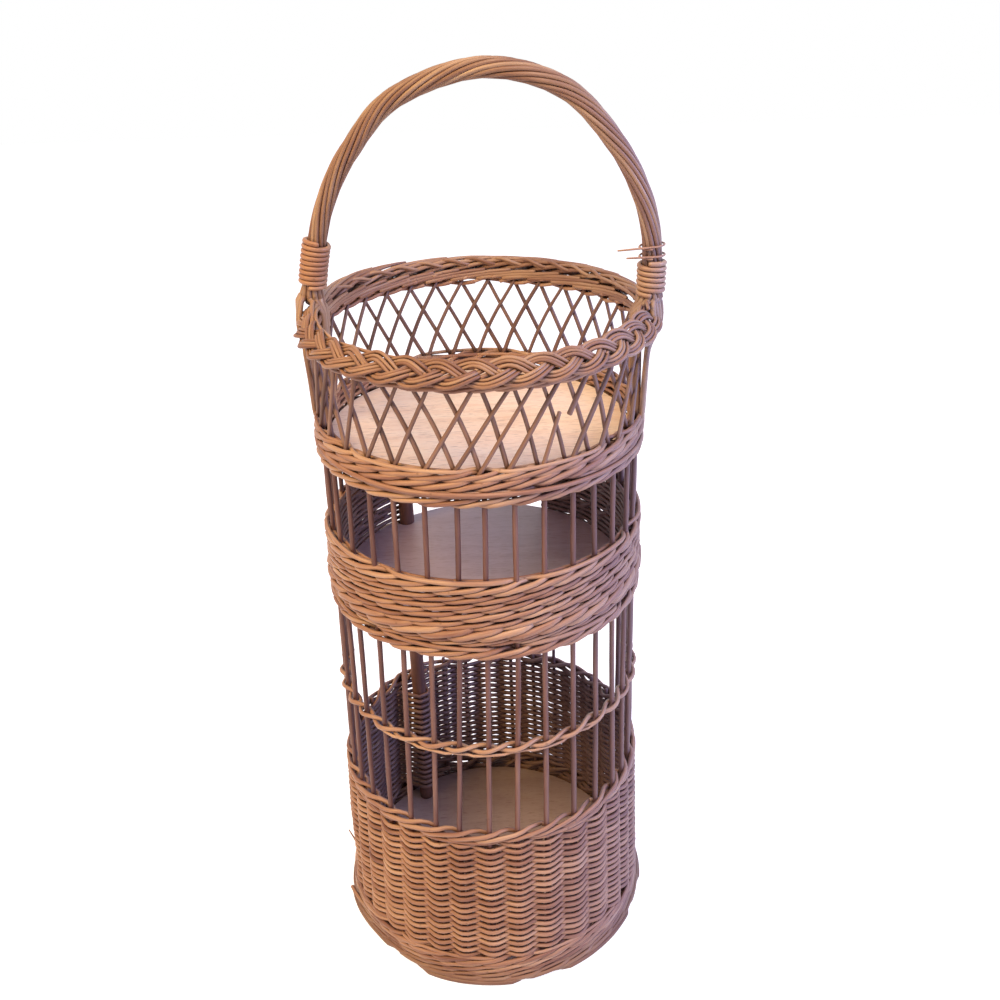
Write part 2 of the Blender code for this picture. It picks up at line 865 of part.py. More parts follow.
def least_gap(points, radius):
    """Narrowest space between one loop of a winding and the next."""
    skip = binding_points_per_loop // 2
    nearest = min(
        (points[first] - points[second]).length
        for first in range(len(points))
        for second in range(first + skip, len(points))
    )
    return nearest - 2 * radius


def binding(name, points, lift, loops, loose_loops, loose_pitch, end_length, handed):
    """Rod wound upwards from the foot; its upper end stands off straight."""
    wound_radius = handle_leg_grip + binding_rod_radius + 2 * seat_gap
    winding = []
    distance = lift
    total = (loops + loose_loops) * binding_points_per_loop
    for number in range(total + 1):
        centre, tangent = path_at(points, distance)
        side = tangent.cross(handle_side).normalized()
        turn = handed * math.tau * number / binding_points_per_loop
        winding.append(centre + (handle_side * math.cos(turn) + side * math.sin(turn)) * wound_radius)
        pitch = binding_pitch if number < loops * binding_points_per_loop else loose_pitch
        distance += pitch / binding_points_per_loop
    print(name, "least gap between loops, mm:", round(least_gap(winding, binding_rod_radius) * 1000.0, 3))
    leaving = (winding[-1] - winding[-2]).normalized()
    winding.append(winding[-1] + leaving * end_length)
    curve = bpy.data.curves.new(name, 'CURVE')
    curve.dimensions = '3D'
    curve.bevel_depth = binding_rod_radius
    curve.bevel_resolution = 1
    curve.use_fill_caps = True
    spline = curve.splines.new('POLY')
    spline.points.add(len(winding) - 1)
    for place, point in zip(spline.points, winding):
        place.co = (*point, 1.0)
    piece = bpy.data.objects.new(name, curve)
    bpy.context.scene.collection.objects.link(piece)
    paint(piece, rod_colour, rod_roughness)


binding(
    "handle_binding_left", hoop_path, left_binding_lift,
    left_binding_loops, 0, binding_pitch, left_end_length, 1)
binding(
    "handle_binding_right", hoop_path[::-1], right_binding_lift,
    right_binding_loops, right_loose_loops, right_loose_pitch, right_end_length, -1)
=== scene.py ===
import math
import random

import bmesh
import bpy
from mathutils import Matrix, Vector, noise


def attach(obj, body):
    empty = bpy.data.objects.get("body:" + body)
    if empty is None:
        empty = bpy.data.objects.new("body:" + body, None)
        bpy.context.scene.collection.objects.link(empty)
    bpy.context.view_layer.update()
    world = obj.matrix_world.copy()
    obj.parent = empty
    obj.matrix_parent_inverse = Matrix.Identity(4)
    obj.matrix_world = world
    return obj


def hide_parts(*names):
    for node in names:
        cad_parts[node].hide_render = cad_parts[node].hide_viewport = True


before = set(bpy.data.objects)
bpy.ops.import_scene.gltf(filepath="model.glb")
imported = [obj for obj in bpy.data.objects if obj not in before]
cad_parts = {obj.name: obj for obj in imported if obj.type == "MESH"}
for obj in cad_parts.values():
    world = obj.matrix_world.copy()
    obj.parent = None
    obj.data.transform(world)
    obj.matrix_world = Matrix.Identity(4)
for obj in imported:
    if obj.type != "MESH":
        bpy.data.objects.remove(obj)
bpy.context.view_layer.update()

# Shelf boards and base board
# Three discs of beech plywood, 5.5 mm thick in five plies, sawn round, sanded and thinly varnished.
# Each lies on a ledge of weave inside its ring, with the grain of its face running across the basket.
ply_thickness = 0.0011


def linear(colour):
    """Linear colour with alpha of an sRGB hex value."""
    channels = [int(colour[place:place + 2], 16) / 255.0 for place in (1, 3, 5)]
    return [c / 12.92 if c <= 0.04045 else ((c + 0.055) / 1.055) ** 2.4 for c in channels] + [1.0]


def add_node(tree, kind, inputs=None, stops=(), **settings):
    """Adds a node: its settings by name, its inputs by name or number, and the stops of a ramp."""
    made = tree.nodes.new(kind)
    for name, value in settings.items():
        setattr(made, name, value)
    for name, value in (inputs or {}).items():
        if isinstance(value, bpy.types.NodeSocket):
            tree.links.new(value, made.inputs[name])
        else:
            made.inputs[name].default_value = value
    for number, (place, colour) in enumerate(stops):
        elements = made.color_ramp.elements
        stop = elements[number] if number < 2 else elements.new(place)
        stop.position = place
        stop.color = linear(colour)
    return made


def new_material(name, roughness):
    """Empty Principled material: its node tree and its shader."""
    material = bpy.data.materials.new(name)
    material.use_nodes = True
    shader = material.node_tree.nodes["Principled BSDF"]
    shader.inputs["Roughness"].default_value = roughness
    return material, material.node_tree, shader


def varnished_plywood(name, pale, middle, dark, back_shade_share):
    """Rotary cut beech veneer under thin varnish: soft broad figure, short flecks, plies on the rim."""
    material, tree, shader = new_material(name, 0.45)
    shader.inputs["IOR"].default_value = 1.5
    shader.inputs["Coat Weight"].default_value = 0.3
    shader.inputs["Coat Roughness"].default_value = 0.3
    place = add_node(tree, "ShaderNodeTexCoord").outputs["Object"]
    # Figure: streaks some 16 mm wide and 170 mm long
    broad_place = add_node(tree, "ShaderNodeMapping", {"Vector": place, "Scale": (6.0, 62.0, 62.0)})
    broad = add_node(tree, "ShaderNodeTexNoise", {
        "Vector": broad_place.outputs[0], "Scale": 1.0, "Detail": 4.0, "Distortion": 0.8})
    # Pores: really 0.1 mm wide, drawn 1.2 mm wide and 14 mm long so that they show
    pore_place = add_node(tree, "ShaderNodeMapping", {"Vector": place, "Scale": (70.0, 800.0, 800.0)})
    pores = add_node(tree, "ShaderNodeTexNoise", {"Vector": pore_place.outputs[0], "Scale": 1.0, "Detail": 2.0})
    # Hand marks and ageing: clouds of about 90 mm
    clouds = add_node(tree, "ShaderNodeTexNoise", {"Vector": place, "Scale": 11.0, "Detail": 2.0})
    pore_part = add_node(tree, "ShaderNodeMath", {
        0: pores.outputs["Fac"], 1: 0.40, 2: -0.13}, operation='MULTIPLY_ADD')
    cloud_part = add_node(tree, "ShaderNodeMath", {
        0: clouds.outputs["Fac"], 1: 0.40, 2: pore_part.outputs[0]}, operation='MULTIPLY_ADD')
    shade = add_node(tree, "ShaderNodeMath", {
        0: broad.outputs["Fac"], 1: 0.46, 2: cloud_part.outputs[0]}, operation='MULTIPLY_ADD')
    veneer = add_node(tree, "ShaderNodeValToRGB", {"Fac": shade.outputs[0]}, stops=(
        (0.30, dark), (0.70, pale), (0.50, middle)))
    # Flecks: the darkest of the pores
    fleck = add_node(tree, "ShaderNodeMapRange", {
        "Value": pores.outputs["Fac"], "From Min": 0.57, "From Max": 0.66, "To Min": 0.0, "To Max": 0.50})
    flecked = add_node(tree, "ShaderNodeMix", {
        0: fleck.outputs[0], 6: veneer.outputs[0], 7: linear("#8E6450")}, data_type='RGBA')
    # Painted shade that grows towards the back of the basket: the face darkens to mauve grey
    depth = add_node(tree, "ShaderNodeSeparateXYZ", {0: place}).outputs["Y"]
    painted_back_shade = add_node(tree, "ShaderNodeMapRange", {
        "Value": depth, "From Min": -0.07, "From Max": 0.13, "To Min": 0.0, "To Max": back_shade_share})
    face = add_node(tree, "ShaderNodeMix", {
        0: painted_back_shade.outputs[0], 6: flecked.outputs[2], 7: linear("#57444F")}, data_type='RGBA')
    # Sawn rim: plies 1.1 mm thick, end grain darker than long grain
    height = add_node(tree, "ShaderNodeSeparateXYZ", {0: place}).outputs["Z"]
    layer = add_node(tree, "ShaderNodeMath", {0: height, 1: ply_thickness * 2.0}, operation='WRAP')
    layer.inputs[2].default_value = 0.0
    end_grain = add_node(tree, "ShaderNodeMath", {
        0: layer.outputs[0], 1: ply_thickness}, operation='GREATER_THAN')
    plies = add_node(tree, "ShaderNodeMix", {
        0: end_grain.outputs[0], 6: linear("#C79F74"), 7: linear("#8A6444")}, data_type='RGBA')
    upright = add_node(tree, "ShaderNodeSeparateXYZ", {
        0: add_node(tree, "ShaderNodeNewGeometry").outputs["Normal"]}).outputs["Z"]
    flat = add_node(tree, "ShaderNodeMath", {0: upright}, operation='ABSOLUTE')
    is_face = add_node(tree, "ShaderNodeMath", {0: flat.outputs[0], 1: 0.5}, operation='GREATER_THAN')
    colour = add_node(tree, "ShaderNodeMix", {
        0: is_face.outputs[0], 6: plies.outputs[2], 7: face.outputs[2]}, data_type='RGBA')
    tree.links.new(colour.outputs[2], shader.inputs["Base Color"])
    # Varnish: a little duller where the pores are
    gloss = add_node(tree, "ShaderNodeMapRange", {
        "Value": pores.outputs["Fac"], "From Min": 0.3, "From Max": 0.7, "To Min": 0.52, "To Max": 0.38})
    tree.links.new(gloss.outputs[0], shader.inputs["Roughness"])
    relief = add_node(tree, "ShaderNodeBump", {
        "Strength": 0.15, "Distance": 0.0002, "Height": pores.outputs["Fac"]})
    tree.links.new(relief.outputs[0], shader.inputs["Normal"])
    return material


# The boards are one plywood: their tones differ as painted light, the top one painted paler, the middle and base ones
# greyer mauve as painted shade. The last number is the painted shade towards the back.
board_tones_with_painted_light = {
    "base_board": ("#EED8CD", "#DDC5BB", "#C4AAA0", 0.55),
    "middle_shelf_board": ("#D0BEC0", "#C4B0B1", "#B29999", 0.15),
    "top_shelf_board": ("#FFF4E4", "#FFEAD6", "#ECCDB4", 0.0),
}
for board_name, veneer in board_tones_with_painted_light.items():
    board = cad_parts[board_name]
    board.material_slots[0].material = varnished_plywood(board_name + "_beech_plywood", *veneer)


# Stakes
# Willow rods about 5 mm thick that stand in the foot and run up through every ring: 19 of the 34
# places are filled to the top. Each is dried, boiled and peeled, a little bent, and thinner at the top.
stake_count = 34
step_angle = math.tau / stake_count
stake_radius = 0.0025
stake_path = ((0.0263, 0.1680), (0.2157, 0.1610), (0.4275, 0.1577), (0.6295, 0.1567))
wall_top = 0.2157
middle_bottom = 0.4275
stake_top = 0.6250

# Stakes that stand off their place: shares of a step at the lower rim, under the middle band, at the top
stake_drift = {
    -5: (-0.09, -0.12, 0.05),
    -4: (-0.07, -0.01, 0.15),
    -3: (-0.11, 0.04, 0.08),
    -2: (-0.10, 0.10, 0.19),
    -1: (-0.22, 0.07, 0.24),
    0: (-0.17, -0.01, 0.07),
    1: (-0.17, -0.01, 0.00),
    2: (-0.11, -0.07, -0.03),
    3: (0.02, 0.01, -0.03),
    4: (0.07, 0.06, -0.19),
    5: (0.15, 0.02, -0.17),
}
chance = random.Random(34)


def circle_at(height):
    """Radius of the circle that the stakes stand on."""
    for (low, low_radius), (high, high_radius) in zip(stake_path, stake_path[1:]):
        if height <= high:
            return low_radius + (high_radius - low_radius) * (height - low) / (high - low)
    return stake_path[-1][1]


def azimuth_at(position, height):
    """Azimuth of a place counted in stakes from the front, which may lie between two stakes."""
    before = math.floor(position)
    azimuth = 0.0
    for stake, weight in ((before, 1.0 - position + before), (before + 1, position - before)):
        at_rim, at_middle, at_top = stake_drift.get(stake, (0.0, 0.0, 0.0))
        drift = at_rim
        if height > middle_bottom:
            drift = at_middle + (at_top - at_middle) * (height - middle_bottom) / (stake_top - middle_bottom)
        elif height > wall_top:
            drift = at_rim + (at_middle - at_rim) * (height - wall_top) / (middle_bottom - wall_top)
        azimuth += weight * (stake + drift) * step_angle
    return azimuth


def around(azimuth, radius, height):
    """Point on the basket: azimuth 0 is the front, and it grows towards +X. The wall is pushed in a
    little at the left, above the foot, and the foot at the front left."""
    beside = (azimuth + 1.55 + math.pi) % math.tau - math.pi
    radius -= 0.0045 * math.exp(-(beside / 0.32) ** 2 - ((height - 0.066) / 0.030) ** 2)
    radius -= 0.0045 * math.exp(-((beside - 0.66) / 0.30) ** 2 - (height / 0.022) ** 2)
    return Vector((radius * math.sin(azimuth), -radius * math.cos(azimuth), height))


def waver(seed, along, size):
    """Slow irregularity of a hand-worked rod."""
    return size * noise.noise(Vector((seed * 7.31, along, seed * 1.7)))


def laid_rods(name, rods, material, sides=8):
    """One piece of round rods, each a row of points and of radii. Two attributes go with it: grain is
    the place on a rod, in metres along and across it, and tone is a number of its own for each rod."""
    curve = bpy.data.curves.new(name, 'CURVE')
    curve.dimensions = '3D'
    curve.bevel_depth = 1.0
    curve.bevel_resolution = sides // 2 - 2
    places = []
    tones = []
    for points, radii in rods:
        first = points[0] + (points[0] - points[1]).normalized() * radii[0] * 0.35
        last = points[-1] + (points[-1] - points[-2]).normalized() * radii[-1] * 0.35
        points = [first] + points + [last]
        radii = [radii[0] * 0.6] + radii + [radii[-1] * 0.6]
        spline = curve.splines.new('POLY')
        spline.points.add(len(points) - 1)
        spline.points.foreach_set("co", [value for point in points for value in (*point, 1.0)])
        spline.points.foreach_set("radius", radii)
        travelled = chance.uniform(0.0, 30.0)
        own_tone = chance.random()
        for number, point in enumerate(points):
            travelled += (point - points[max(number - 1, 0)]).length
            for side in range(sides):
                turn = math.tau * side / sides
                places += (travelled, radii[number] * math.cos(turn), radii[number] * math.sin(turn))
            tones += [own_tone] * sides
    drawn = bpy.data.objects.new(name, curve)
    bpy.context.scene.collection.objects.link(drawn)
    mesh = bpy.data.meshes.new_from_object(drawn)
    bpy.data.objects.remove(drawn)
    bpy.data.curves.remove(curve)
    mesh.attributes.new("grain", 'FLOAT_VECTOR', 'POINT').data.foreach_set("vector", places)
    mesh.attributes.new("tone", 'FLOAT', 'POINT').data.foreach_set("value", tones)
    bm = bmesh.new()
    bm.from_mesh(mesh)
    bmesh.ops.holes_fill(bm, edges=[edge for edge in bm.edges if edge.is_boundary], sides=sides)
    bm.to_mesh(mesh)
    bm.free()
    mesh.shade_smooth()
    mesh.materials.clear()
    mesh.materials.append(material)
    mesh.name = name
    piece = bpy.data.objects.new(name, mesh)
    bpy.context.scene.collection.objects.link(piece)
    return piece


def peeled_willow(name, tones, roughness, inner_shade=0.0, up_to=0.57):
    """Boiled and peeled willow, dried: satin, each rod its own tone, grain lines, dark bud scars. Up to
    a height its inner side is darkened to mauve as painted shade, and the right side is painted grey violet as painted
    cool light."""
    material, tree, shader = new_material(name, roughness)
    shader.inputs["IOR"].default_value = 1.45
    grain = add_node(tree, "ShaderNodeAttribute", attribute_name="grain").outputs["Vector"]
    tone = add_node(tree, "ShaderNodeAttribute", attribute_name="tone").outputs["Fac"]
    # Grain lines: really 0.3 mm wide, drawn 0.9 mm wide and 16 mm long so that they show
    fine_place = add_node(tree, "ShaderNodeMapping", {"Vector": grain, "Scale": (62.0, 1100.0, 1100.0)})
    fine = add_node(tree, "ShaderNodeTexNoise", {"Vector": fine_place.outputs[0], "Scale": 1.0, "Detail": 2.0})
    # Stains from the boiling: 50 mm long, on one side of the rod
    stain_place = add_node(tree, "ShaderNodeMapping", {"Vector": grain, "Scale": (20.0, 240.0, 240.0)})
    stain = add_node(tree, "ShaderNodeTexNoise", {"Vector": stain_place.outputs[0], "Scale": 1.0, "Detail": 3.0})
    # Dust and ageing over the whole weave: clouds of about 70 mm
    place = add_node(tree, "ShaderNodeTexCoord").outputs["Object"]
    clouds = add_node(tree, "ShaderNodeTexNoise", {"Vector": place, "Scale": 14.0, "Detail": 2.0})
    shade = add_node(tree, "ShaderNodeMath", {0: tone, 1: 0.40, 2: -0.60}, operation='MULTIPLY_ADD')
    for part, weight in ((fine, 0.45), (stain, 0.85), (clouds, 0.50)):
        shade = add_node(tree, "ShaderNodeMath", {
            0: part.outputs["Fac"], 1: weight, 2: shade.outputs[0]}, operation='MULTIPLY_ADD')
    wood = add_node(tree, "ShaderNodeValToRGB", {"Fac": shade.outputs[0]}, stops=(
        (0.05, tones[0]), (0.95, tones[4]), (0.28, tones[1]), (0.50, tones[2]), (0.72, tones[3])))
    # Bud scars: one every 90 mm, each turned on from the one before, about 2 mm long
    parts = add_node(tree, "ShaderNodeSeparateXYZ", {0: grain})
    start = add_node(tree, "ShaderNodeMath", {0: tone, 1: 9.0}, operation='MULTIPLY')
    count = add_node(tree, "ShaderNodeMath", {
        0: parts.outputs["X"], 1: 11.1, 2: start.outputs[0]}, operation='MULTIPLY_ADD')
    whole = add_node(tree, "ShaderNodeMath", {0: count.outputs[0]}, operation='FLOOR')
    rest = add_node(tree, "ShaderNodeMath", {0: count.outputs[0]}, operation='FRACT')
    ahead = add_node(tree, "ShaderNodeMath", {
        0: rest.outputs[0], 1: 0.090, 2: -0.045}, operation='MULTIPLY_ADD')
    turn = add_node(tree, "ShaderNodeMath", {0: whole.outputs[0], 1: 2.4}, operation='MULTIPLY')
    cosine = add_node(tree, "ShaderNodeMath", {0: turn.outputs[0]}, operation='COSINE')
    sine = add_node(tree, "ShaderNodeMath", {0: turn.outputs[0]}, operation='SINE')
    across = add_node(tree, "ShaderNodeCombineXYZ", {1: parts.outputs["Y"], 2: parts.outputs["Z"]})
    thickness = add_node(tree, "ShaderNodeVectorMath", {0: across.outputs[0]}, operation='LENGTH')
    way = add_node(tree, "ShaderNodeCombineXYZ", {1: cosine.outputs[0], 2: sine.outputs[0]})
    centre = add_node(tree, "ShaderNodeVectorMath", {
        0: way.outputs[0], "Scale": thickness.outputs["Value"]}, operation='SCALE')
    here = add_node(tree, "ShaderNodeCombineXYZ", {
        0: ahead.outputs[0], 1: parts.outputs["Y"], 2: parts.outputs["Z"]})
    distance = add_node(tree, "ShaderNodeVectorMath", {
        0: here.outputs[0], 1: centre.outputs[0]}, operation='DISTANCE')
    scar = add_node(tree, "ShaderNodeMapRange", {
        "Value": distance.outputs["Value"], "From Min": 0.0006, "From Max": 0.0015, "To Min": 0.40, "To Max": 0.0})
    scarred = add_node(tree, "ShaderNodeMix", {
        0: scar.outputs[0], 6: wood.outputs[0], 7: linear("#5A3828")}, data_type='RGBA')
    # Painted shade on the inner side, where the normal points towards the axis of the basket, up to a height
    flat_place = add_node(tree, "ShaderNodeVectorMath", {0: place, 1: (1.0, 1.0, 0.0)}, operation='MULTIPLY')
    outward = add_node(tree, "ShaderNodeVectorMath", {
        0: flat_place.outputs[0], 1: add_node(tree, "ShaderNodeNewGeometry").outputs["Normal"]},
        operation='DOT_PRODUCT')
    inner = add_node(tree, "ShaderNodeMapRange", {
        "Value": outward.outputs["Value"], "From Min": 0.01, "From Max": -0.05, "To Min": 0.0, "To Max": inner_shade})
    sides_of_place = add_node(tree, "ShaderNodeSeparateXYZ", {0: place})
    low = add_node(tree, "ShaderNodeMapRange", {
        "Value": sides_of_place.outputs["Z"], "From Min": up_to - 0.03, "From Max": up_to + 0.03,
        "To Min": 1.0, "To Max": 0.0})
    inner_shade_part = add_node(tree, "ShaderNodeMath", {0: inner.outputs[0], 1: low.outputs[0]}, operation='MULTIPLY')
    # Painted cool light: towards the right side of the basket the colour is painted grey violet
    painted_cool_light_part = add_node(tree, "ShaderNodeMapRange", {
        "Value": sides_of_place.outputs["X"], "From Min": 0.03, "From Max": 0.17, "To Min": 0.0, "To Max": 0.38})
    cool_lit = add_node(tree, "ShaderNodeMix", {
        0: painted_cool_light_part.outputs[0], 6: scarred.outputs[2], 7: linear("#8A7D88")}, data_type='RGBA')
    inner_shaded = add_node(tree, "ShaderNodeMix", {
        0: inner_shade_part.outputs[0], 6: cool_lit.outputs[2], 7: linear("#6C5859")}, data_type='RGBA')
    # Painted shade where rods lie close together, within 11 mm, and a painted shadow of the floor below 25 mm
    open_part = add_node(tree, "ShaderNodeAmbientOcclusion", {"Distance": 0.011}, samples=6)
    crevice_shade = add_node(tree, "ShaderNodeMapRange", {
        "Value": open_part.outputs["AO"], "From Min": 0.12, "From Max": 0.66, "To Min": 0.82, "To Max": 0.0})
    floor_contact_shadow = add_node(tree, "ShaderNodeMapRange", {
        "Value": sides_of_place.outputs["Z"], "From Min": 0.0, "From Max": 0.025, "To Min": 0.70, "To Max": 0.0})
    painted_shade = add_node(tree, "ShaderNodeMath", {
        0: crevice_shade.outputs[0], 1: floor_contact_shadow.outputs[0]}, operation='MAXIMUM')
    colour = add_node(tree, "ShaderNodeMix", {
        0: painted_shade.outputs[0], 6: inner_shaded.outputs[2], 7: linear("#51301F")}, data_type='RGBA')
    tree.links.new(colour.outputs[2], shader.inputs["Base Color"])
    satin = add_node(tree, "ShaderNodeMapRange", {
        "Value": stain.outputs["Fac"], "From Min": 0.3, "From Max": 0.7,
        "To Min": roughness + 0.08, "To Max": roughness - 0.08})
    tree.links.new(satin.outputs[0], shader.inputs["Roughness"])
    swelling = add_node(tree, "ShaderNodeMath", {
        0: scar.outputs[0], 1: 1.0, 2: fine.outputs["Fac"]}, operation='MULTIPLY_ADD')
    relief = add_node(tree, "ShaderNodeBump", {
        "Strength": 0.3, "Distance": 0.0004, "Height": swelling.outputs[0]})
    tree.links.new(relief.outputs[0], shader.inputs["Normal"])
    return material


def upright_rod(position, radius, low, high, seed):
    """Stake from low to high on the stakes' circle; its butt is thicker than its tip."""
    count = max(3, round((high - low) / 0.012))
    points = []
    radii = []
    for number in range(count + 1):
        share = number / count
        level = low + (high - low) * share
        azimuth = azimuth_at(position, level) + waver(seed, level * 13.0, 0.0045)
        points.append(around(azimuth, circle_at(level) + waver(seed + 40, level * 11.0, 0.0006), level))
        radii.append(radius * (1.05 - 0.12 * share + waver(seed + 80, level * 45.0, 0.10)))
    return points, radii


stake_willow = peeled_willow(
    "stake_peeled_willow", ("#573832", "#66443B", "#765146", "#846052", "#926E5C"), 0.5, 0.6)
for number, position in enumerate(range(-9, 10), 1):
    stake_name = f"stake_{number:02d}"
    stake = laid_rods("willow_" + stake_name, [
        upright_rod(position, stake_radius * 1.1, 0.004, 0.6225, number)], stake_willow, sides=10)
    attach(stake, "root")
    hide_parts(stake_name)


# Foot
# The ring that the basket stands on: thick willow rods waled round the ends of the stakes, a plaited
# bottom edge, and rows laid inside as the ledge for the base board.
foot_rods = []
# The thick rear post stands inside the weave: every second plain row goes round it on the inside
post_position = -13.317
post_inside = 0.1303


def side_of(turn, repeat):
    """Side of the stakes that a rod lies on: -1 behind the stake at each whole repeat, 1 in front."""
    near = min(turn, repeat - turn)
    side = -math.cos(math.pi * near) if near < 1.0 else 1.0
    return math.copysign(abs(side) ** 1.15, side) if repeat == 2 else side


def past_post(position):
    """Share of the way from the line of the row to the inner face of the rear post."""
    apart = abs((position - post_position + 17.0) % 34.0 - 17.0)
    share = min(1.0, max(0.0, (0.74 - apart) / 0.48))
    return share * share * (3.0 - 2.0 * share)


def rise_of(turn, repeat):
    """Height of a stroke: -0.5 where it comes forward, 0.5 where it goes back, falling behind."""
    edge = 0.6
    if edge <= turn <= repeat - edge:
        return (turn - edge) / (repeat - 2.0 * edge) - 0.5
    behind = (turn + edge) % repeat / (2.0 * edge)
    return 0.5 - behind * behind * (3.0 - 2.0 * behind)


def woven_row(level, radius, rise, repeat, strands, phase, first, last, reach=None, settle=0.0006, sag=2.0,
              fineness=4, lift=0.0, dip=0.0):
    """Rods of one row from position first to last: each goes behind one stake in every repeat. The
    row is laid with rods that start and end behind a stake, thick end first. A row that goes right
    round ends beside its own start. Lift is how much higher the row lies at the back, and dip how far
    it goes down behind a stake."""
    rods = []
    reach = stake_radius + radius - 0.0001 if reach is None else reach
    closed = last - first >= stake_count
    for strand in range(strands):
        shift = phase + strand * repeat / strands
        place = first + (shift - first) % repeat
        end = place + repeat * round(stake_count / repeat) if closed else last
        while place < end - 0.5:
            stop = place + repeat * max(1, round(chance.uniform(7.0, 11.0) / repeat))
            if stop > end - repeat:
                stop = end
            count = max(4, round((stop - place) * fineness))
            seed = chance.uniform(0.0, 9.0)
            thick = chance.uniform(0.95, 1.05)
            points = []
            radii = []
            for number in range(count + 1):
                position = place + (stop - place) * number / count
                turn = (position - shift) % repeat
                height = level + rise * rise_of(turn, repeat) if rise else level
                height += waver(3.0, position * 0.35 + level * 9.0, settle * sag) + waver(seed, position, settle)
                height += lift * (0.5 - 0.5 * math.cos(position * step_angle)) ** 1.5
                side = side_of(turn, repeat)
                out = circle_at(height) + reach * side
                if number in (0, count):
                    out -= radius * 0.8
                height -= dip * (0.5 - 0.5 * side)
                if repeat == 2:
                    height -= 0.0012 * side
                    if shift % 2.0 >= 1.0:
                        out += (post_inside - out) * past_post(position)
                points.append(around(azimuth_at(position, height), out, height))
                radii.append(radius * thick * (1.06 - 0.14 * number / count + waver(seed + 5.0, position * 2.0, 0.08)))
            rods.append((points, radii))
            place = stop
    return rods


def ledge_row(radius, level, thickness, first=-17.0, last=17.0):
    """Plain rods laid side by side inside a ring."""
    rods = []
    place = first
    while place < last - 0.5:
        stop = min(last, place + chance.uniform(8.0, 13.0))
        count = max(3, round((stop - place) * 2))
        seed = chance.uniform(0.0, 9.0)
        points = [
            around(
                (place + (stop - place) * number / count) * step_angle,
                radius + waver(seed, number * 0.4, 0.0006),
                level + waver(seed + 3.0, number * 0.4, 0.0006))
            for number in range(count + 1)
        ]
        rods.append((points, [thickness * (1.05 - 0.1 * number / count) for number in range(count + 1)]))
        place = stop
    return rods


foot_rods += woven_row(0.0068, 0.0026, 0.0046, 3, 3, 0.3, -17.0, 17.0, reach=0.0070)
foot_rods += woven_row(0.0036, 0.0027, 0.0012, 5, 1, 1.6, -17.0, 17.0, reach=0.0088, settle=0.0003)
foot_rods += woven_row(0.0118, 0.0024, 0.0085, 3, 3, 0.5, -17.0, 17.0)
foot_rods += woven_row(0.0178, 0.0023, 0.0085, 3, 3, 1.4, -17.0, 17.0)
foot_rods += woven_row(0.0236, 0.0023, 0.0085, 3, 3, 2.3, -17.0, 17.0)
for ledge_radius in (0.1540, 0.1580, 0.1620):
    foot_rods += ledge_row(ledge_radius, 0.0118, 0.0021)
for ledge_radius in (0.1550, 0.1600):
    foot_rods += ledge_row(ledge_radius, 0.0075, 0.0022)
# Tip of a rod that has come out of the foot at the left
foot_rods.append((
    [around(-1.08, 0.1700, 0.014), around(-1.19, 0.1755, 0.017), around(-1.27, 0.1790, 0.020),
     around(-1.31, 0.1812, 0.0235)],
    [0.0024, 0.0025, 0.0025, 0.0022]))
weave_willow = peeled_willow(
    "weave_peeled_willow", ("#7A5242", "#976B54", "#B0866A", "#C29C7C", "#D2B091"), 0.46, 0.75)
foot = laid_rods("waled_foot", foot_rods, weave_willow)
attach(foot, "root")
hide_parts("foot_border")


# Lower wall
# Close plain weave: thin willow rods, each in front of one stake and behind the next, 39 rows high,
# beaten down hard between a wale at the foot and a thick three-rod wale as the rim. At the back its
# stakes end in the rim. Every row is laid with several rods, whose ends lie inside.
wall_rods = woven_row(0.0308, 0.0026, 0.0100, 3, 3, 0.0, -17.0, 17.0)
wall_rods += woven_row(0.0362, 0.0020, 0.0010, 5, 1, 0.7, -17.0, 17.0)
wall_rows = 39
wall_row_pitch = 0.00412
wall_first_row = 0.0402
for row in range(wall_rows):
    level = wall_first_row + row * wall_row_pitch
    wall_rods += woven_row(
        level, chance.uniform(0.00240, 0.00256), 0.0, 2, 1, row % 2, -17.0 + row % 2, 17.0 + row % 2,
        reach=chance.uniform(0.0046, 0.0052), settle=0.00035, sag=4.0, fineness=6)
# A thin tip that stands off at the left
wall_rods.append((
    [around(-1.40, 0.1660, 0.058), around(-1.45, 0.1725, 0.066), around(-1.48, 0.1765, 0.073),
     around(-1.49, 0.1800, 0.083)],
    [0.0013, 0.0012, 0.0010, 0.0007]))
wall_willow = peeled_willow(
    "wall_peeled_willow", ("#72493A", "#8F644E", "#A97D61", "#BE9576", "#D0AC8B"), 0.48, 0.75)
wall = laid_rods("woven_lower_wall", wall_rods, wall_willow)
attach(wall, "root")
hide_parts("lower_wall")

rim_rods = woven_row(0.2078, 0.0026, 0.0108, 3, 3, 0.9, -17.0, 17.0, reach=0.0050, settle=0.0004)
rim_rods += woven_row(0.2010, 0.0021, 0.0010, 4, 1, 0.9, -17.0, 17.0, settle=0.0003)
rim = laid_rods("lower_wall_rim", rim_rods, weave_willow, sides=10)
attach(rim, "root")
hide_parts("lower_wall")

rear_rods = [
    upright_rod(position, stake_radius, 0.004, 0.2140, 50 + position)
    for position in range(10, 25) if position not in (10, 14)
]
rear_stakes = laid_rods("rear_stakes_in_wall", rear_rods, stake_willow)
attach(rear_stakes, "root")
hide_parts("lower_wall")


# Twined ring
# Two willow rods in the open lower tier, one in front of and one behind each stake, crossing between
# the stakes; a third, thinner one lies under them at the front. Their ends stand off at both sides.
ring_level = 0.3220
ring_radius = 0.0023


def twined_rod(phase, radius):
    """One of the two rods, on an oval spiral round the line of the stakes."""
    points = []
    radii = []
    for number in range(-57, 58):
        position = number / 6.0
        turn = math.pi * position + phase
        level = ring_level + 0.0025 * math.sin(turn) + waver(phase + 2.0, position * 0.6, 0.0012)
        swing = (stake_radius + radius) * math.cos(turn)
        points.append(around(azimuth_at(position, level), circle_at(level) + swing, level))
        radii.append(radius * (1.0 - 0.08 * math.sin(number / 20.0 + phase)))
    return points, radii


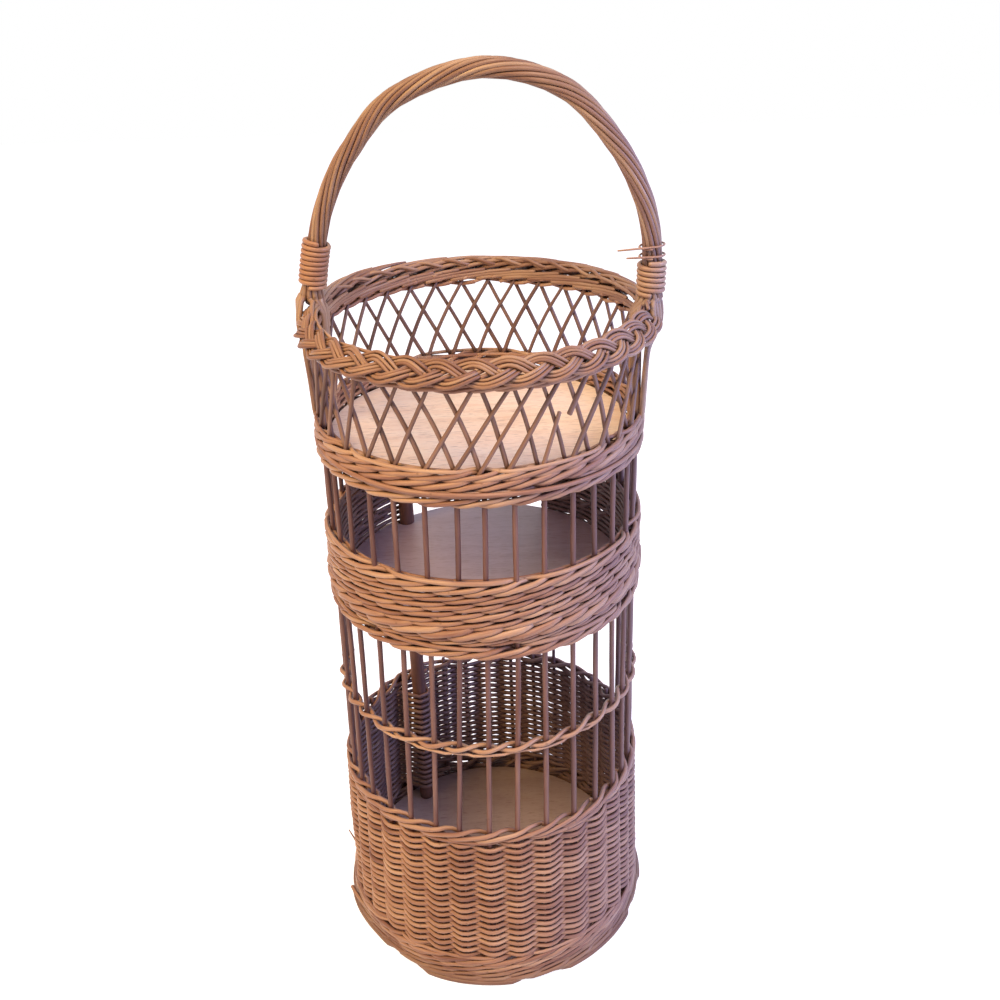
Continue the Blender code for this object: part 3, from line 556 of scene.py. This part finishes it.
def ring_end(position, out, up, level):
    """Free tip of a rod beyond the last stake."""
    start = around(position * step_angle, circle_at(level) + 0.003, level)
    away = 1.0 if position > 0 else -1.0
    tips = [
        around((position + away * share * 0.9) * step_angle, circle_at(level) + 0.003 + out * share, level + up * share)
        for share in (0.35, 0.7, 1.0)
    ]
    return [start] + tips, [0.0021, 0.0020, 0.0018, 0.0013]


ring_1 = laid_rods("twined_ring_rod_1", [twined_rod(0.0, ring_radius), ring_end(9.3, 0.006, 0.007, 0.322)],
                   weave_willow)
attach(ring_1, "root")
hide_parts("pairing_rod_1")
under_points = [
    around(
        azimuth_at(-4.0 + number / 4.0, 0.3164),
        circle_at(0.3164) + 0.0043 * (1.0 if number % 8 not in (3, 4, 5) else 0.4),
        0.3164 + 0.0040 * ((number - 16) / 16.0) ** 4 + waver(5.0, number * 0.3, 0.0010))
    for number in range(33)
]
ring_2 = laid_rods("twined_ring_rod_2", [
    twined_rod(math.pi, ring_radius), ring_end(-9.3, 0.008, 0.008, 0.322),
    (under_points, [0.0017 - 0.0005 * number / 32 for number in range(33)])], weave_willow)
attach(ring_2, "root")
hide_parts("pairing_rod_2")


# Middle band
# Waled ring that carries the middle shelf: rows of three rods that each go in front of two stakes and
# behind one, with single long rods between them. It is open at the back, where its rods turn round
# the last stakes, and rods laid inside its foot make the ledge.
band_first = -13.5
band_last = 14.4
# Rows from the bottom: height, radius of the rods, rise of a stroke, repeat in stakes, strands
middle_rows = (
    (0.4365, 0.0024, 0.0085, 3, 3),
    (0.4440, 0.0022, -0.0020, 5, 1),
    (0.4500, 0.0017, 0.0062, 3, 3),
    (0.4600, 0.0032, 0.0115, 3, 3),
    (0.4690, 0.0021, 0.0078, 3, 3),
    (0.4790, 0.0023, 0.0082, 3, 3),
    (0.4885, 0.0021, 0.0076, 3, 3),
    (0.4975, 0.0021, 0.0076, 3, 3),
    (0.5075, 0.0025, 0.0090, 3, 3),
    (0.5158, 0.0022, 0.0014, 5, 1),
)
middle_rods = []
for number, (level, radius, rise, repeat, strands) in enumerate(middle_rows):
    middle_rods += woven_row(
        level, radius * 1.08, rise, repeat, strands, number * 0.7, band_first, band_last, settle=0.0004,
        dip=0.0044 if repeat == 5 else 0.0)
for ledge_radius in (0.1460, 0.1500):
    middle_rods += ledge_row(ledge_radius, 0.4298, 0.0021, band_first, band_last)
# Tails of the rods, laid along the inside between the rows
for tail in range(13):
    middle_rods += ledge_row(0.1524, 0.4345 + 0.0065 * tail, 0.0022, band_first, band_last)
middle_band = laid_rods("waled_middle_band", middle_rods, weave_willow)
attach(middle_band, "root")
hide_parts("middle_band")


# Posts, short stakes and edge stake
# At the open back a barked stick as thick as a thumb stands inside the weave between the boards, and a
# thicker stake at the right. Three short stakes on each side reach from the middle to the top band.
post_azimuth = math.radians(-141.0)
post_radius = 0.0085
barked_willow = peeled_willow(
    "post_barked_willow", ("#5E3E33", "#6F4A3C", "#805848", "#916857", "#A07866"), 0.62, 0.35)
post_points = []
post_radii = []
for number in range(49):
    level = 0.0203 + (0.6017 - 0.0203) * number / 48
    post_points.append(around(
        post_azimuth + waver(21.0, level * 9.0, 0.006), 0.1417 + waver(22.0, level * 9.0, 0.0005), level))
    post_radii.append(post_radius * (0.98 + waver(23.0, level * 40.0, 0.06)))
rear_post = laid_rods("barked_rear_post", [(post_points, post_radii)], barked_willow, sides=16)
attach(rear_post, "root")
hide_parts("rear_post")

side_post = laid_rods("willow_side_post", [upright_rod(10, 0.0035, 0.004, 0.6225, 31)], stake_willow, sides=12)
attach(side_post, "root")
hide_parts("side_post")

edge_stake = laid_rods("willow_rear_edge_stake", [upright_rod(14, 0.0021, 0.004, 0.6225, 32)], stake_willow)
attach(edge_stake, "root")
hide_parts("rear_edge_stake")

for number, position in enumerate((-12, -11, -10, 11, 12, 13), 1):
    short_stake = laid_rods(f"willow_short_stake_{number}", [
        upright_rod(position, stake_radius, 0.4290, 0.6225, 60 + number)], stake_willow)
    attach(short_stake, "root")
    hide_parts(f"short_stake_{number}")


# Top band
# Waled ring that carries the top shelf, closed all round: three-rod wales with long smooth rods
# between them, over the tops of the stakes. Rods laid inside its foot make the ledge.
top_rows = (
    (0.5985, 0.0024, 0.0080, 3, 3),
    (0.6045, 0.0020, 0.0010, 6, 1),
    (0.6085, 0.0020, -0.0010, 5, 1),
    (0.6150, 0.0027, 0.0098, 3, 3),
    (0.6225, 0.0022, 0.0078, 3, 3),
    (0.6278, 0.0018, 0.0010, 5, 1),
)
top_rods = []
for number, (level, radius, rise, repeat, strands) in enumerate(top_rows):
    top_rods += woven_row(
        level, radius * 1.08, rise, repeat, strands, 0.4 + number * 0.9, -17.0, 17.0, settle=0.0004)
for ledge_radius in (0.1450, 0.1490):
    top_rods += ledge_row(ledge_radius, 0.5998, 0.0020)
for tail_level in (0.6020, 0.6118, 0.6190, 0.6255):
    top_rods += ledge_row(0.1517, tail_level, 0.0019)
# A long rod in front of the others: place in stakes from the front, and height
long_points = []
long_corners = ((-8.2, 0.6150), (-5.7, 0.6112), (-2.8, 0.6078), (0.0, 0.6078), (2.8, 0.6060), (5.7, 0.6058), (8.0, 0.6040))
for (start, start_level), (stop, stop_level) in zip(long_corners, long_corners[1:]):
    for number in range(8):
        share = number / 8
        position = start + (stop - start) * share
        level = start_level + (stop_level - start_level) * share
        long_points.append(around(position * step_angle, 0.1645 - 0.004 * (position / 8.2) ** 6, level))
top_rods.append((long_points, [0.0027 - 0.0007 * number / len(long_points) for number in range(len(long_points))]))
top_band = laid_rods("waled_top_band", top_rods, weave_willow)
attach(top_band, "root")
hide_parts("top_band")


# Lattice
# From every stake position one thin willow rod leans left and one leans right. They are pushed into
# the top band, cross twice, and go up into the wale under the border. One at the front has snapped.
lattice_low = 0.6298
lattice_high = 0.7022
lattice_radius = 0.0021
lattice_circle = 0.1567
rim_lift = 0.0040
# Foot and head of the front rods that lean their own way, in stakes from the front
right_leaning = {
    -6: (-5.95, -5.08),
    -5: (-4.78, -4.03),
    -4: (-3.74, -2.49),
    -3: (-2.68, -1.52),
    -2: (-1.66, -0.21),
    -1: (-0.75, 0.86),
    0: (0.03, 1.57),
    1: (0.88, 2.40),
    2: (1.93, 2.77),
    3: (2.97, 4.58),
}
left_leaning = {
    -4: (-3.96, -5.10),
    -3: (-2.89, -4.10),
    -2: (-1.80, -3.15),
    -1: (-0.87, -2.03),
    0: (-0.07, -1.03),
    1: (0.79, 0.08),
    2: (1.74, 1.05),
    3: (2.69, 1.95),
    4: (3.63, 2.81),
    5: (4.58, 3.82),
}


def lattice_rod(direction, foot, head, low_share=-0.08, high_share=1.05):
    """One rod on the straight line from its foot to its head, a little bent on the way."""
    seed = chance.uniform(0.0, 50.0)
    layer = lattice_circle + direction * 0.0019
    bottom = around(foot * step_angle, layer, lattice_low)
    top = around(head * step_angle, layer, lattice_high + rim_lift * (0.5 - 0.5 * math.cos(head * step_angle)) ** 1.5)
    outward = (bottom + top).normalized()
    sideways = Vector((-outward.y, outward.x, 0.0))
    points = []
    for number in range(11):
        share = low_share + (high_share - low_share) * number / 10
        steep = Vector((top.x - bottom.x, top.y - bottom.y, 0.0)) * (0.30 * share * (share - 1.0))
        steep = steep if direction < 0 and 0.0 < share < 1.0 else Vector()
        bend = sideways * waver(seed, share * 1.6, 0.0022) + outward * waver(seed + 3.0, share * 1.6, 0.0008)
        points.append(bottom.lerp(top, share) + steep + bend * math.sin(math.pi * min(max(share, 0.0), 1.0)))
    thick = lattice_radius * chance.uniform(0.92, 1.10)
    return points, [thick * (1.08 - 0.016 * number) for number in range(11)]


lattice_rods = []
for direction, own in ((1, right_leaning), (-1, left_leaning)):
    for position in range(-17, 17):
        start = position + direction * 0.1036
        foot, head = own.get(position, (start, start + direction * 1.3635))
        snapped = direction > 0 and position == 2
        lattice_rods.append(lattice_rod(direction, foot, head, -0.08, 0.62 if snapped else 1.05))
lattice_rods.append(lattice_rod(1, 2.08, 3.43, 0.555, 1.05))
lattice_willow = peeled_willow(
    "lattice_peeled_willow", ("#61483C", "#755748", "#896857", "#9C7A66", "#AF8E79"), 0.5, 0.4, 0.9)
lattice = laid_rods("crossed_lattice", lattice_rods, lattice_willow)
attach(lattice, "root")
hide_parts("lattice")


# Upper wale
# Three rows of willow under the border that hold the heads of the lattice rods.
upper_rods = []
for level, phase in ((0.7052, 0.0), (0.7100, 1.3)):
    upper_rods += woven_row(
        level, 0.0020, 0.0056, 3, 3, phase, -17.0, 17.0, reach=0.0042, settle=0.0004, lift=rim_lift)
upper_rods += woven_row(0.7138, 0.0019, 0.0020, 3, 1, 0.6, -17.0, 17.0, reach=0.0040, lift=rim_lift)
upper_wale = laid_rods("upper_wale_rods", upper_rods, weave_willow)
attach(upper_wale, "root")
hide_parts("upper_wale")


# Plaited border
# A flat plait of three strands over the rim, each of three willow rods side by side. It slants down
# outwards: at the lower edge the strand that rises to the right lies on top, at the upper edge the
# other one does. Long rods lie along its inner edge.
border_radius = 0.1622
border_level = 0.7196
border_slant = math.radians(42.0)
plait_half_width = 0.0098
plait_half_depth = 0.0027
plait_repeat = 3.0
plait_rod_radius = 0.00178
plait_rod_space = 0.0034


def near_foot(position, foot, width):
    """1 beside a foot of the handle, falling to 0 along the border."""
    return math.exp(-(((position - foot + 17.0) % 34.0 - 17.0) / width) ** 2)


def on_border(position, across, above):
    """Point on the slanting plait: across is positive towards the inner, upper edge. The feet of the
    handle push the plait outwards."""
    radius = border_radius - across * math.cos(border_slant) + above * math.sin(border_slant)
    radius += 0.0008 * near_foot(position, -9.6, 1.6) + 0.0048 * near_foot(position, 8.1, 1.6)
    level = border_level + across * math.sin(border_slant) + above * math.cos(border_slant)
    level += rim_lift * (0.5 - 0.5 * math.cos(position * step_angle)) ** 1.5
    return around(position * step_angle, radius, level)


def plait_point(position, beside):
    """Place across and above the plait of the strand that runs three times round."""
    turn = math.tau * position / plait_repeat
    # The plait is drawn narrow at the left foot of the handle
    half_width = plait_half_width * (1.0 - 0.48 * near_foot(position, -9.6, 2.0))
    slope = half_width * math.cos(turn) * math.tau / (plait_repeat * step_angle * border_radius)
    length = math.hypot(1.0, slope)
    shift = -beside * slope / length / (step_angle * border_radius)
    across = half_width * math.sin(turn) + beside / length
    return on_border(position + shift, across, -plait_half_depth * math.sin(2.0 * turn))


border_rods = []
for lane in (-1, 0, 1):
    place = 0.0
    while place < 101.5:
        stop = min(102.0, place + chance.choice((6.0, 7.5, 9.0)))
        count = round((stop - place) * 7)
        seed = chance.uniform(0.0, 20.0)
        thick = plait_rod_radius * chance.uniform(0.93, 1.06)
        points = [
            plait_point(
                place + (stop - place) * number / count,
                lane * plait_rod_space + waver(seed, number * 0.12, 0.0016))
            for number in range(count + 1)
        ]
        radii = [thick * (1.04 - 0.10 * number / count) for number in range(count + 1)]
        border_rods.append((points, radii))
        place = stop
# Long rods along the inner edge at the front
place = -9.5
while place < 8.5:
    reach = chance.uniform(4.0, 6.0)
    count = round(reach * 3)
    seed = chance.uniform(0.0, 20.0)
    points = []
    for number in range(count + 1):
        share = number / count
        tuck = 0.0042 * max(0.0, 1.0 - share / 0.3) ** 2 + 0.0026 * max(0.0, (share - 0.8) / 0.2) ** 2
        points.append(on_border(
            place + reach * share, 0.0126 + waver(seed, share * 3.0, 0.0012) - tuck,
            -0.0024 + waver(seed + 2.0, share * 3.0, 0.0010) - tuck * 0.9))
    border_rods.append((points, [0.0018 * (1.04 - 0.16 * number / count) for number in range(count + 1)]))
    place += reach - 1.0
# Back of the rim: from every stake one rod comes up inside and goes over the top to the right, and
# lower down another one fills the inner side, rising the same way
for place in range(9, 26):
    seed = chance.uniform(0.0, 20.0)
    length = chance.uniform(3.6, 4.6)
    raised = 0.0016 * math.exp(-((place - 22.5) / 2.2) ** 2)
    start = place + 2.1 + chance.uniform(-0.15, 0.15)
    points = []
    radii = []
    for number in range(17):
        share = number / 16
        if share < 0.25:
            radius = 0.1550 + 0.0034 * (1.0 - 4.0 * share) ** 2
        else:
            radius = 0.1550 + 0.0095 * ((share - 0.25) / 0.75) ** 1.6
        level = 0.7180 + 0.0150 * math.sin(math.pi * min(1.0, 0.62 * share ** 0.8)) + raised * share
        points.append(around(
            (start - length * share) * step_angle, radius + waver(seed, share * 3.0, 0.0007),
            level + waver(seed + 4.0, share * 3.0, 0.0011)))
        radii.append(0.0026 - 0.0009 * share)
    border_rods.append((points, radii))
    seed = chance.uniform(0.0, 20.0)
    points = []
    for number in range(13):
        share = number / 12
        points.append(around(
            (place + 1.9 - 3.3 * share) * step_angle, 0.1522 + waver(seed, share * 3.0, 0.0012),
            0.7122 + 0.0100 * share + waver(seed + 4.0, share * 3.0, 0.0010)))
    border_rods.append((points, [0.0024 - 0.0006 * number / 12 for number in range(13)]))
border_willow = peeled_willow(
    "border_peeled_willow", ("#724D3D", "#8D644D", "#A47D61", "#B59171", "#C4A485"), 0.46)
border = laid_rods("plaited_border_rods", border_rods, border_willow)
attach(border, "root")
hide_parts("plaited_border")


# Hoop handle
# Eleven long willow rods roped round a thick core, two turns from foot to foot. Under each binding they
# part: the outer ones go down over the border as the bow ends, the others inside as the tails.
left_foot = around(math.radians(-100.0), 0.1613, 0.0)
right_foot = around(math.radians(86.0), 0.1660, 0.0)
hoop_axis = (right_foot - left_foot).normalized()
hoop_front = Vector((hoop_axis.y, -hoop_axis.x, 0.0))
hoop_base = 0.7350
hoop_rise = 0.2050
hoop_shares = (
    (0.000, 0.000), (0.028, 0.232), (0.074, 0.456), (0.152, 0.664), (0.287, 0.883), (0.526, 1.000),
    (0.748, 0.915), (0.893, 0.682), (0.969, 0.456), (0.999, 0.251), (1.000, 0.000),
)
foot_grip = 0.0096
leg_grip = 0.0089
top_grip = 0.0094
handle_rods = 11
handle_turns = 2.15


def smooth_path(corners, step):
    """Smooth curve through the corners, as points at equal distances."""
    fine = []
    for index in range(len(corners) - 1):
        before, start = corners[max(index - 1, 0)], corners[index]
        end, after = corners[index + 1], corners[min(index + 2, len(corners) - 1)]
        for number in range(24):
            share = number / 24
            fine.append(0.5 * (
                2.0 * start + (end - before) * share
                + (2.0 * before - 5.0 * start + 4.0 * end - after) * share ** 2
                + (3.0 * start - before - 3.0 * end + after) * share ** 3))
    fine.append(corners[-1])
    lengths = [0.0]
    for near, far in zip(fine, fine[1:]):
        lengths.append(lengths[-1] + (far - near).length)
    count = max(2, round(lengths[-1] / step))
    points = []
    index = 0
    for number in range(count + 1):
        wanted = lengths[-1] * number / count
        while index < len(lengths) - 2 and lengths[index + 1] < wanted:
            index += 1
        share = (wanted - lengths[index]) / (lengths[index + 1] - lengths[index])
        points.append(fine[index].lerp(fine[index + 1], share))
    return points


def tangents_of(points):
    """Direction of a path at each of its points."""
    return [
        (after - before).normalized()
        for before, after in zip(points[:1] + points[:-1], points[1:] + points[-1:])
    ]


hoop_path = smooth_path([
    left_foot + (right_foot - left_foot) * along + Vector((0.0, 0.0, hoop_base + up * hoop_rise))
    for along, up in hoop_shares
], 0.006)
hoop_tangents = tangents_of(hoop_path)
hoop_count = len(hoop_path) - 1
twist_radius = math.sin(math.pi / handle_rods) / (1.0 + math.sin(math.pi / handle_rods))


def roped_rod(number):
    """One of the roped rods, from the left foot to the right foot of the hoop."""
    points = []
    radii = []
    thick = chance.uniform(0.93, 1.07)
    for place, (centre, tangent) in enumerate(zip(hoop_path, hoop_tangents)):
        share = place / hoop_count
        grip = leg_grip + (top_grip - leg_grip) * math.sin(math.pi * share)
        grip += (foot_grip - leg_grip) * max(0.0, 1.0 - min(share, 1.0 - share) / 0.13)
        grip += 0.0028 * max(0.0, 1.0 - min(place, hoop_count - place) / 2.0)
        twist = handle_turns * (share - 0.25 / math.tau * math.sin(math.tau * share))
        angle = math.tau * (number / handle_rods - twist) + waver(number + 3.0, share * 7.0, 0.10)
        inward = tangent.cross(hoop_front).normalized()
        radius = grip * twist_radius
        points.append(centre + (hoop_front * math.cos(angle) + inward * math.sin(angle)) * (grip - radius))
        radii.append(radius * thick * 1.02)
    return points, radii


def rod_end(start, start_radius, azimuth, at_left, outside, rank):
    """Way of one roped rod below its binding: over the border, or down inside as a tail."""
    sign = 1.0 if at_left else -1.0
    if outside:
        side = sign * ((-0.03, 0.03, 0.10, 0.17) if at_left else (-0.03, 0.03, 0.08, 0.13))[rank]
        spread = azimuth + side + sign * 0.06
        gather = azimuth + sign * (0.12 + rank * 0.030)
        lean = (0.0030 if at_left else 0.0024) - 0.0026 * rank
        corners = [
            start,
            around(azimuth + side * 0.4, 0.1728 + lean * 0.8, 0.7330),
            around(azimuth + side * 0.7, 0.1745 + lean, 0.7230),
            around(azimuth + side * 0.9, 0.1750 + lean, 0.7130),
            around(azimuth + side, 0.1738 + lean, 0.7050),
            around(azimuth + side + sign * 0.02, 0.1690 + lean * 0.6, 0.6955),
            around(spread, 0.1650, 0.6870),
            around((spread + gather) / 2.0, 0.1636, 0.6600),
            around(gather, 0.1628, 0.6300),
            around(gather, 0.1622, 0.6240),
        ]
    else:
        aside = hoop_front * (rank - 3.0) * 0.0030
        deep = 0.6085 if rank in (2, 3, 4) else 0.7020
        foot = left_foot if at_left else right_foot
        inset = (foot.xy.length - 0.1502) * sign
        inside = foot + hoop_axis * inset + aside
        corners = [
            start,
            start.lerp(inside + Vector((0.0, 0.0, start.z)), 0.35) + Vector((0.0, 0.0, -0.006)),
            inside + Vector((0.0, 0.0, 0.7200)),
            inside + Vector((0.0, 0.0, 0.7080)),
            inside + Vector((0.0, 0.0, deep)),
        ]
    path = smooth_path(corners, 0.006)
    return path, [start_radius * (1.0 - 0.12 * number / len(path)) for number in range(len(path))]


handle_parts = []
for rod_number in range(handle_rods):
    points, radii = roped_rod(rod_number)
    for at_left in (True, False):
        end = points[0] if at_left else points[-1]
        foot = left_foot if at_left else right_foot
        outward = (end.xy - foot.xy).dot(foot.xy.normalized())
        own = (outward, (end.xy - foot.xy).dot(hoop_front.xy))
        handle_parts.append((rod_number, at_left, own))
handle_curves = []
ends = {}
for at_left in (True, False):
    here = sorted((part for part in handle_parts if part[1] == at_left), key=lambda part: -part[2][0])
    outer = sorted(here[:4], key=lambda part: part[2][1])
    inner = sorted(here[4:], key=lambda part: part[2][1])
    for rank, part in enumerate(outer):
        ends[(part[0], at_left)] = (True, rank)
    for rank, part in enumerate(inner):
        ends[(part[0], at_left)] = (False, rank)
bow_rods = {True: [], False: []}
for rod_number in range(handle_rods):
    points, radii = roped_rod(rod_number)
    handle_curves.append((points, radii))
    for at_left in (True, False):
        start, start_radius = (points[0], radii[0]) if at_left else (points[-1], radii[-1])
        outside, rank = ends[(rod_number, at_left)]
        azimuth = math.radians(-100.0 if at_left else 86.0)
        way = rod_end(start, start_radius, azimuth, at_left, outside, rank)
        if outside:
            bow_rods[at_left].append(way)
        else:
            handle_curves.append(way)
core_points = [point for point in hoop_path]
handle_curves.append((core_points, [0.0052] * len(core_points)))
# The core's sawn ends stand just over the border
for foot in (left_foot, right_foot):
    handle_curves.append((
        [foot + Vector((0.0, 0.0, 0.7445)), foot + Vector((0.0, 0.0, 0.7345)), foot + Vector((0.0, 0.0, 0.7285))],
        [0.0074, 0.0074, 0.0070]))
handle_willow = peeled_willow(
    "handle_peeled_willow", ("#755141", "#906A52", "#A68466", "#B89777", "#C8AC8B"), 0.42)
handle = laid_rods("roped_hoop_handle", handle_curves, handle_willow, sides=12)
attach(handle, "root")
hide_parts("handle")

for at_left, side_name in ((True, "left"), (False, "right")):
    bow = laid_rods("bow_rods_" + side_name, bow_rods[at_left], handle_willow, sides=10)
    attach(bow, "root")
    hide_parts("bow_ends_" + side_name)


# Bindings
# One thin willow rod is wound tightly round each foot of the handle and its ends are tucked under. At
# the right the last two turns have come loose, and their tips stand out sideways.
wound_radius = 0.0117
binding_radius = 0.0024


def binding_rods(path, loops, pitch, lift, handed, start_angle=0.0, radius=binding_radius, tip=0.012):
    """Rod wound upwards round the leg; its last end stands off straight."""
    directions = tangents_of(path)
    lengths = [0.0]
    for near, far in zip(path, path[1:]):
        lengths.append(lengths[-1] + (far - near).length)
    points = []
    seed = chance.uniform(0.0, 20.0)
    steps = loops * 20
    for number in range(steps + 1):
        wanted = lift + pitch * number / 20
        index = max(i for i in range(len(lengths) - 1) if lengths[i] <= wanted)
        share = (wanted - lengths[index]) / (lengths[index + 1] - lengths[index])
        centre = path[index].lerp(path[index + 1], share)
        tangent = directions[index].lerp(directions[index + 1], share).normalized()
        side = tangent.cross(hoop_front).normalized()
        turn = start_angle + handed * math.tau * number / 20
        reach = wound_radius + waver(seed, number * 0.06, 0.0003)
        points.append(centre + (hoop_front * math.cos(turn) + side * math.sin(turn)) * reach)
    leaving = (points[-1] - points[-2]).normalized()
    points.append(points[-1] + leaving * tip * 0.5)
    points.append(points[-1] + leaving * tip * 0.5)
    return points, [radius] * (len(points) - 1) + [radius * 0.8]


binding_willow = peeled_willow(
    "binding_peeled_willow", ("#8A5C45", "#A77757", "#BC8D68", "#CBA27A", "#D9B68D"), 0.4)
left_binding = laid_rods("left_foot_binding", [
    binding_rods(hoop_path, 9, 0.0048, 0.0108, 1, tip=0.004)], binding_willow, sides=10)
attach(left_binding, "root")
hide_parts("handle_binding_left")

right_path = hoop_path[::-1]
right_rods = [
    binding_rods(right_path, 6, 0.0050, 0.0038, -1, tip=0.003),
    binding_rods(right_path, 1, 0.0020, 0.0385, -1, radius=0.0010, tip=0.024),
    binding_rods(right_path, 1, 0.0020, 0.0475, -1, radius=0.0010, tip=0.032),
]
right_binding = laid_rods("right_foot_binding", right_rods, binding_willow, sides=10)
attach(right_binding, "root")
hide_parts("handle_binding_right")


# Floor, lamps and camera
# A pale floor under a white surround; warm soft light from the left and cooler light from the right.
floor_mesh = bpy.data.meshes.new("pale_floor")
floor_bm = bmesh.new()
bmesh.ops.create_grid(floor_bm, x_segments=1, y_segments=1, size=6.0)
floor_bm.to_mesh(floor_mesh)
floor_bm.free()
floor = bpy.data.objects.new("pale_floor", floor_mesh)
bpy.context.scene.collection.objects.link(floor)
floor_material = bpy.data.materials.new("white_matt_floor")
floor_material.use_nodes = True
floor_tree = floor_material.node_tree
floor_tree.nodes.clear()
rays = add_node(floor_tree, "ShaderNodeLightPath")
seen = add_node(floor_tree, "ShaderNodeMath", {
    0: rays.outputs["Is Camera Ray"], 1: rays.outputs["Is Glossy Ray"]}, operation='MAXIMUM')
seen = add_node(floor_tree, "ShaderNodeMath", {
    0: seen.outputs[0], 1: rays.outputs["Is Transmission Ray"]}, operation='MAXIMUM')
part = add_node(floor_tree, "ShaderNodeMath", {0: seen.outputs[0], 1: 0.86}, operation='MULTIPLY')
matt = add_node(floor_tree, "ShaderNodeBsdfDiffuse", {"Color": linear("#F2F2F2")})
white = add_node(floor_tree, "ShaderNodeEmission", {"Color": linear("#FFFFFF"), "Strength": part.outputs[0]})
blend = add_node(floor_tree, "ShaderNodeAddShader", {0: matt.outputs[0], 1: white.outputs[0]})
add_node(floor_tree, "ShaderNodeOutputMaterial", {"Surface": blend.outputs[0]})
floor_mesh.materials.append(floor_material)

world = bpy.data.worlds.new("white_surround")
world.use_nodes = True
bpy.context.scene.world = world
world_tree = world.node_tree
world_tree.nodes.clear()
world_rays = add_node(world_tree, "ShaderNodeLightPath")
world_seen = add_node(world_tree, "ShaderNodeMath", {
    0: world_rays.outputs["Is Camera Ray"], 1: world_rays.outputs["Is Glossy Ray"]}, operation='MAXIMUM')
world_seen = add_node(world_tree, "ShaderNodeMath", {
    0: world_seen.outputs[0], 1: world_rays.outputs["Is Transmission Ray"]}, operation='MAXIMUM')
sky = add_node(world_tree, "ShaderNodeBackground", {"Color": linear("#DAD0F0"), "Strength": 0.42})
backdrop = add_node(world_tree, "ShaderNodeBackground", {"Color": linear("#FFFFFF"), "Strength": 1.0})
around_all = add_node(world_tree, "ShaderNodeMixShader", {
    0: world_seen.outputs[0], 1: sky.outputs[0], 2: backdrop.outputs[0]})
add_node(world_tree, "ShaderNodeOutputWorld", {"Surface": around_all.outputs[0]})

# Lamps: place, colour, power in watts and width in metres
lamps = {
    "window_left": ((-1.5, -1.1, 2.3), "#FFD074", 44.0, 1.0),
    "window_right": ((2.0, -0.5, 1.4), "#A2B4FF", 38.0, 1.0),
    "ceiling": ((0.1, -1.3, 2.9), "#FFECDA", 37.0, 1.2),
}
for lamp_name, (lamp_place, lamp_colour, power, width) in lamps.items():
    light = bpy.data.lights.new(lamp_name, 'AREA')
    light.shape = 'SQUARE'
    light.size = width
    light.energy = power
    light.color = linear(lamp_colour)[:3]
    lamp = bpy.data.objects.new(lamp_name, light)
    bpy.context.scene.collection.objects.link(lamp)
    lamp.location = lamp_place
    lamp.rotation_euler = (Vector((0.0, 0.0, 0.45)) - Vector(lamp_place)).to_track_quat('-Z', 'Y').to_euler()

# The photograph is taken from a metre away and looks down at the basket
camera_data = bpy.data.cameras.new("camera")
camera_data.sensor_width = 36.0
camera_data.lens = 39.04
camera = bpy.data.objects.new("camera", camera_data)
bpy.context.scene.collection.objects.link(camera)
pitch = 0.475016
yaw = 0.0182915
roll = -0.0276068
ahead = Vector((math.sin(yaw) * math.cos(pitch), math.cos(yaw) * math.cos(pitch), -math.sin(pitch)))
level_right = ahead.cross(Vector((0.0, 0.0, 1.0))).normalized()
level_up = level_right.cross(ahead)
camera_right = level_right * math.cos(roll) + level_up * math.sin(roll)
camera_up = level_up * math.cos(roll) - level_right * math.sin(roll)
pose = Matrix((camera_right, camera_up, -ahead)).transposed().to_4x4()
pose.translation = Vector((0.0, -1.00806, 1.03670))
camera.matrix_world = pose
bpy.context.scene.camera = camera
bpy.context.scene.view_settings.view_transform = 'Standard'
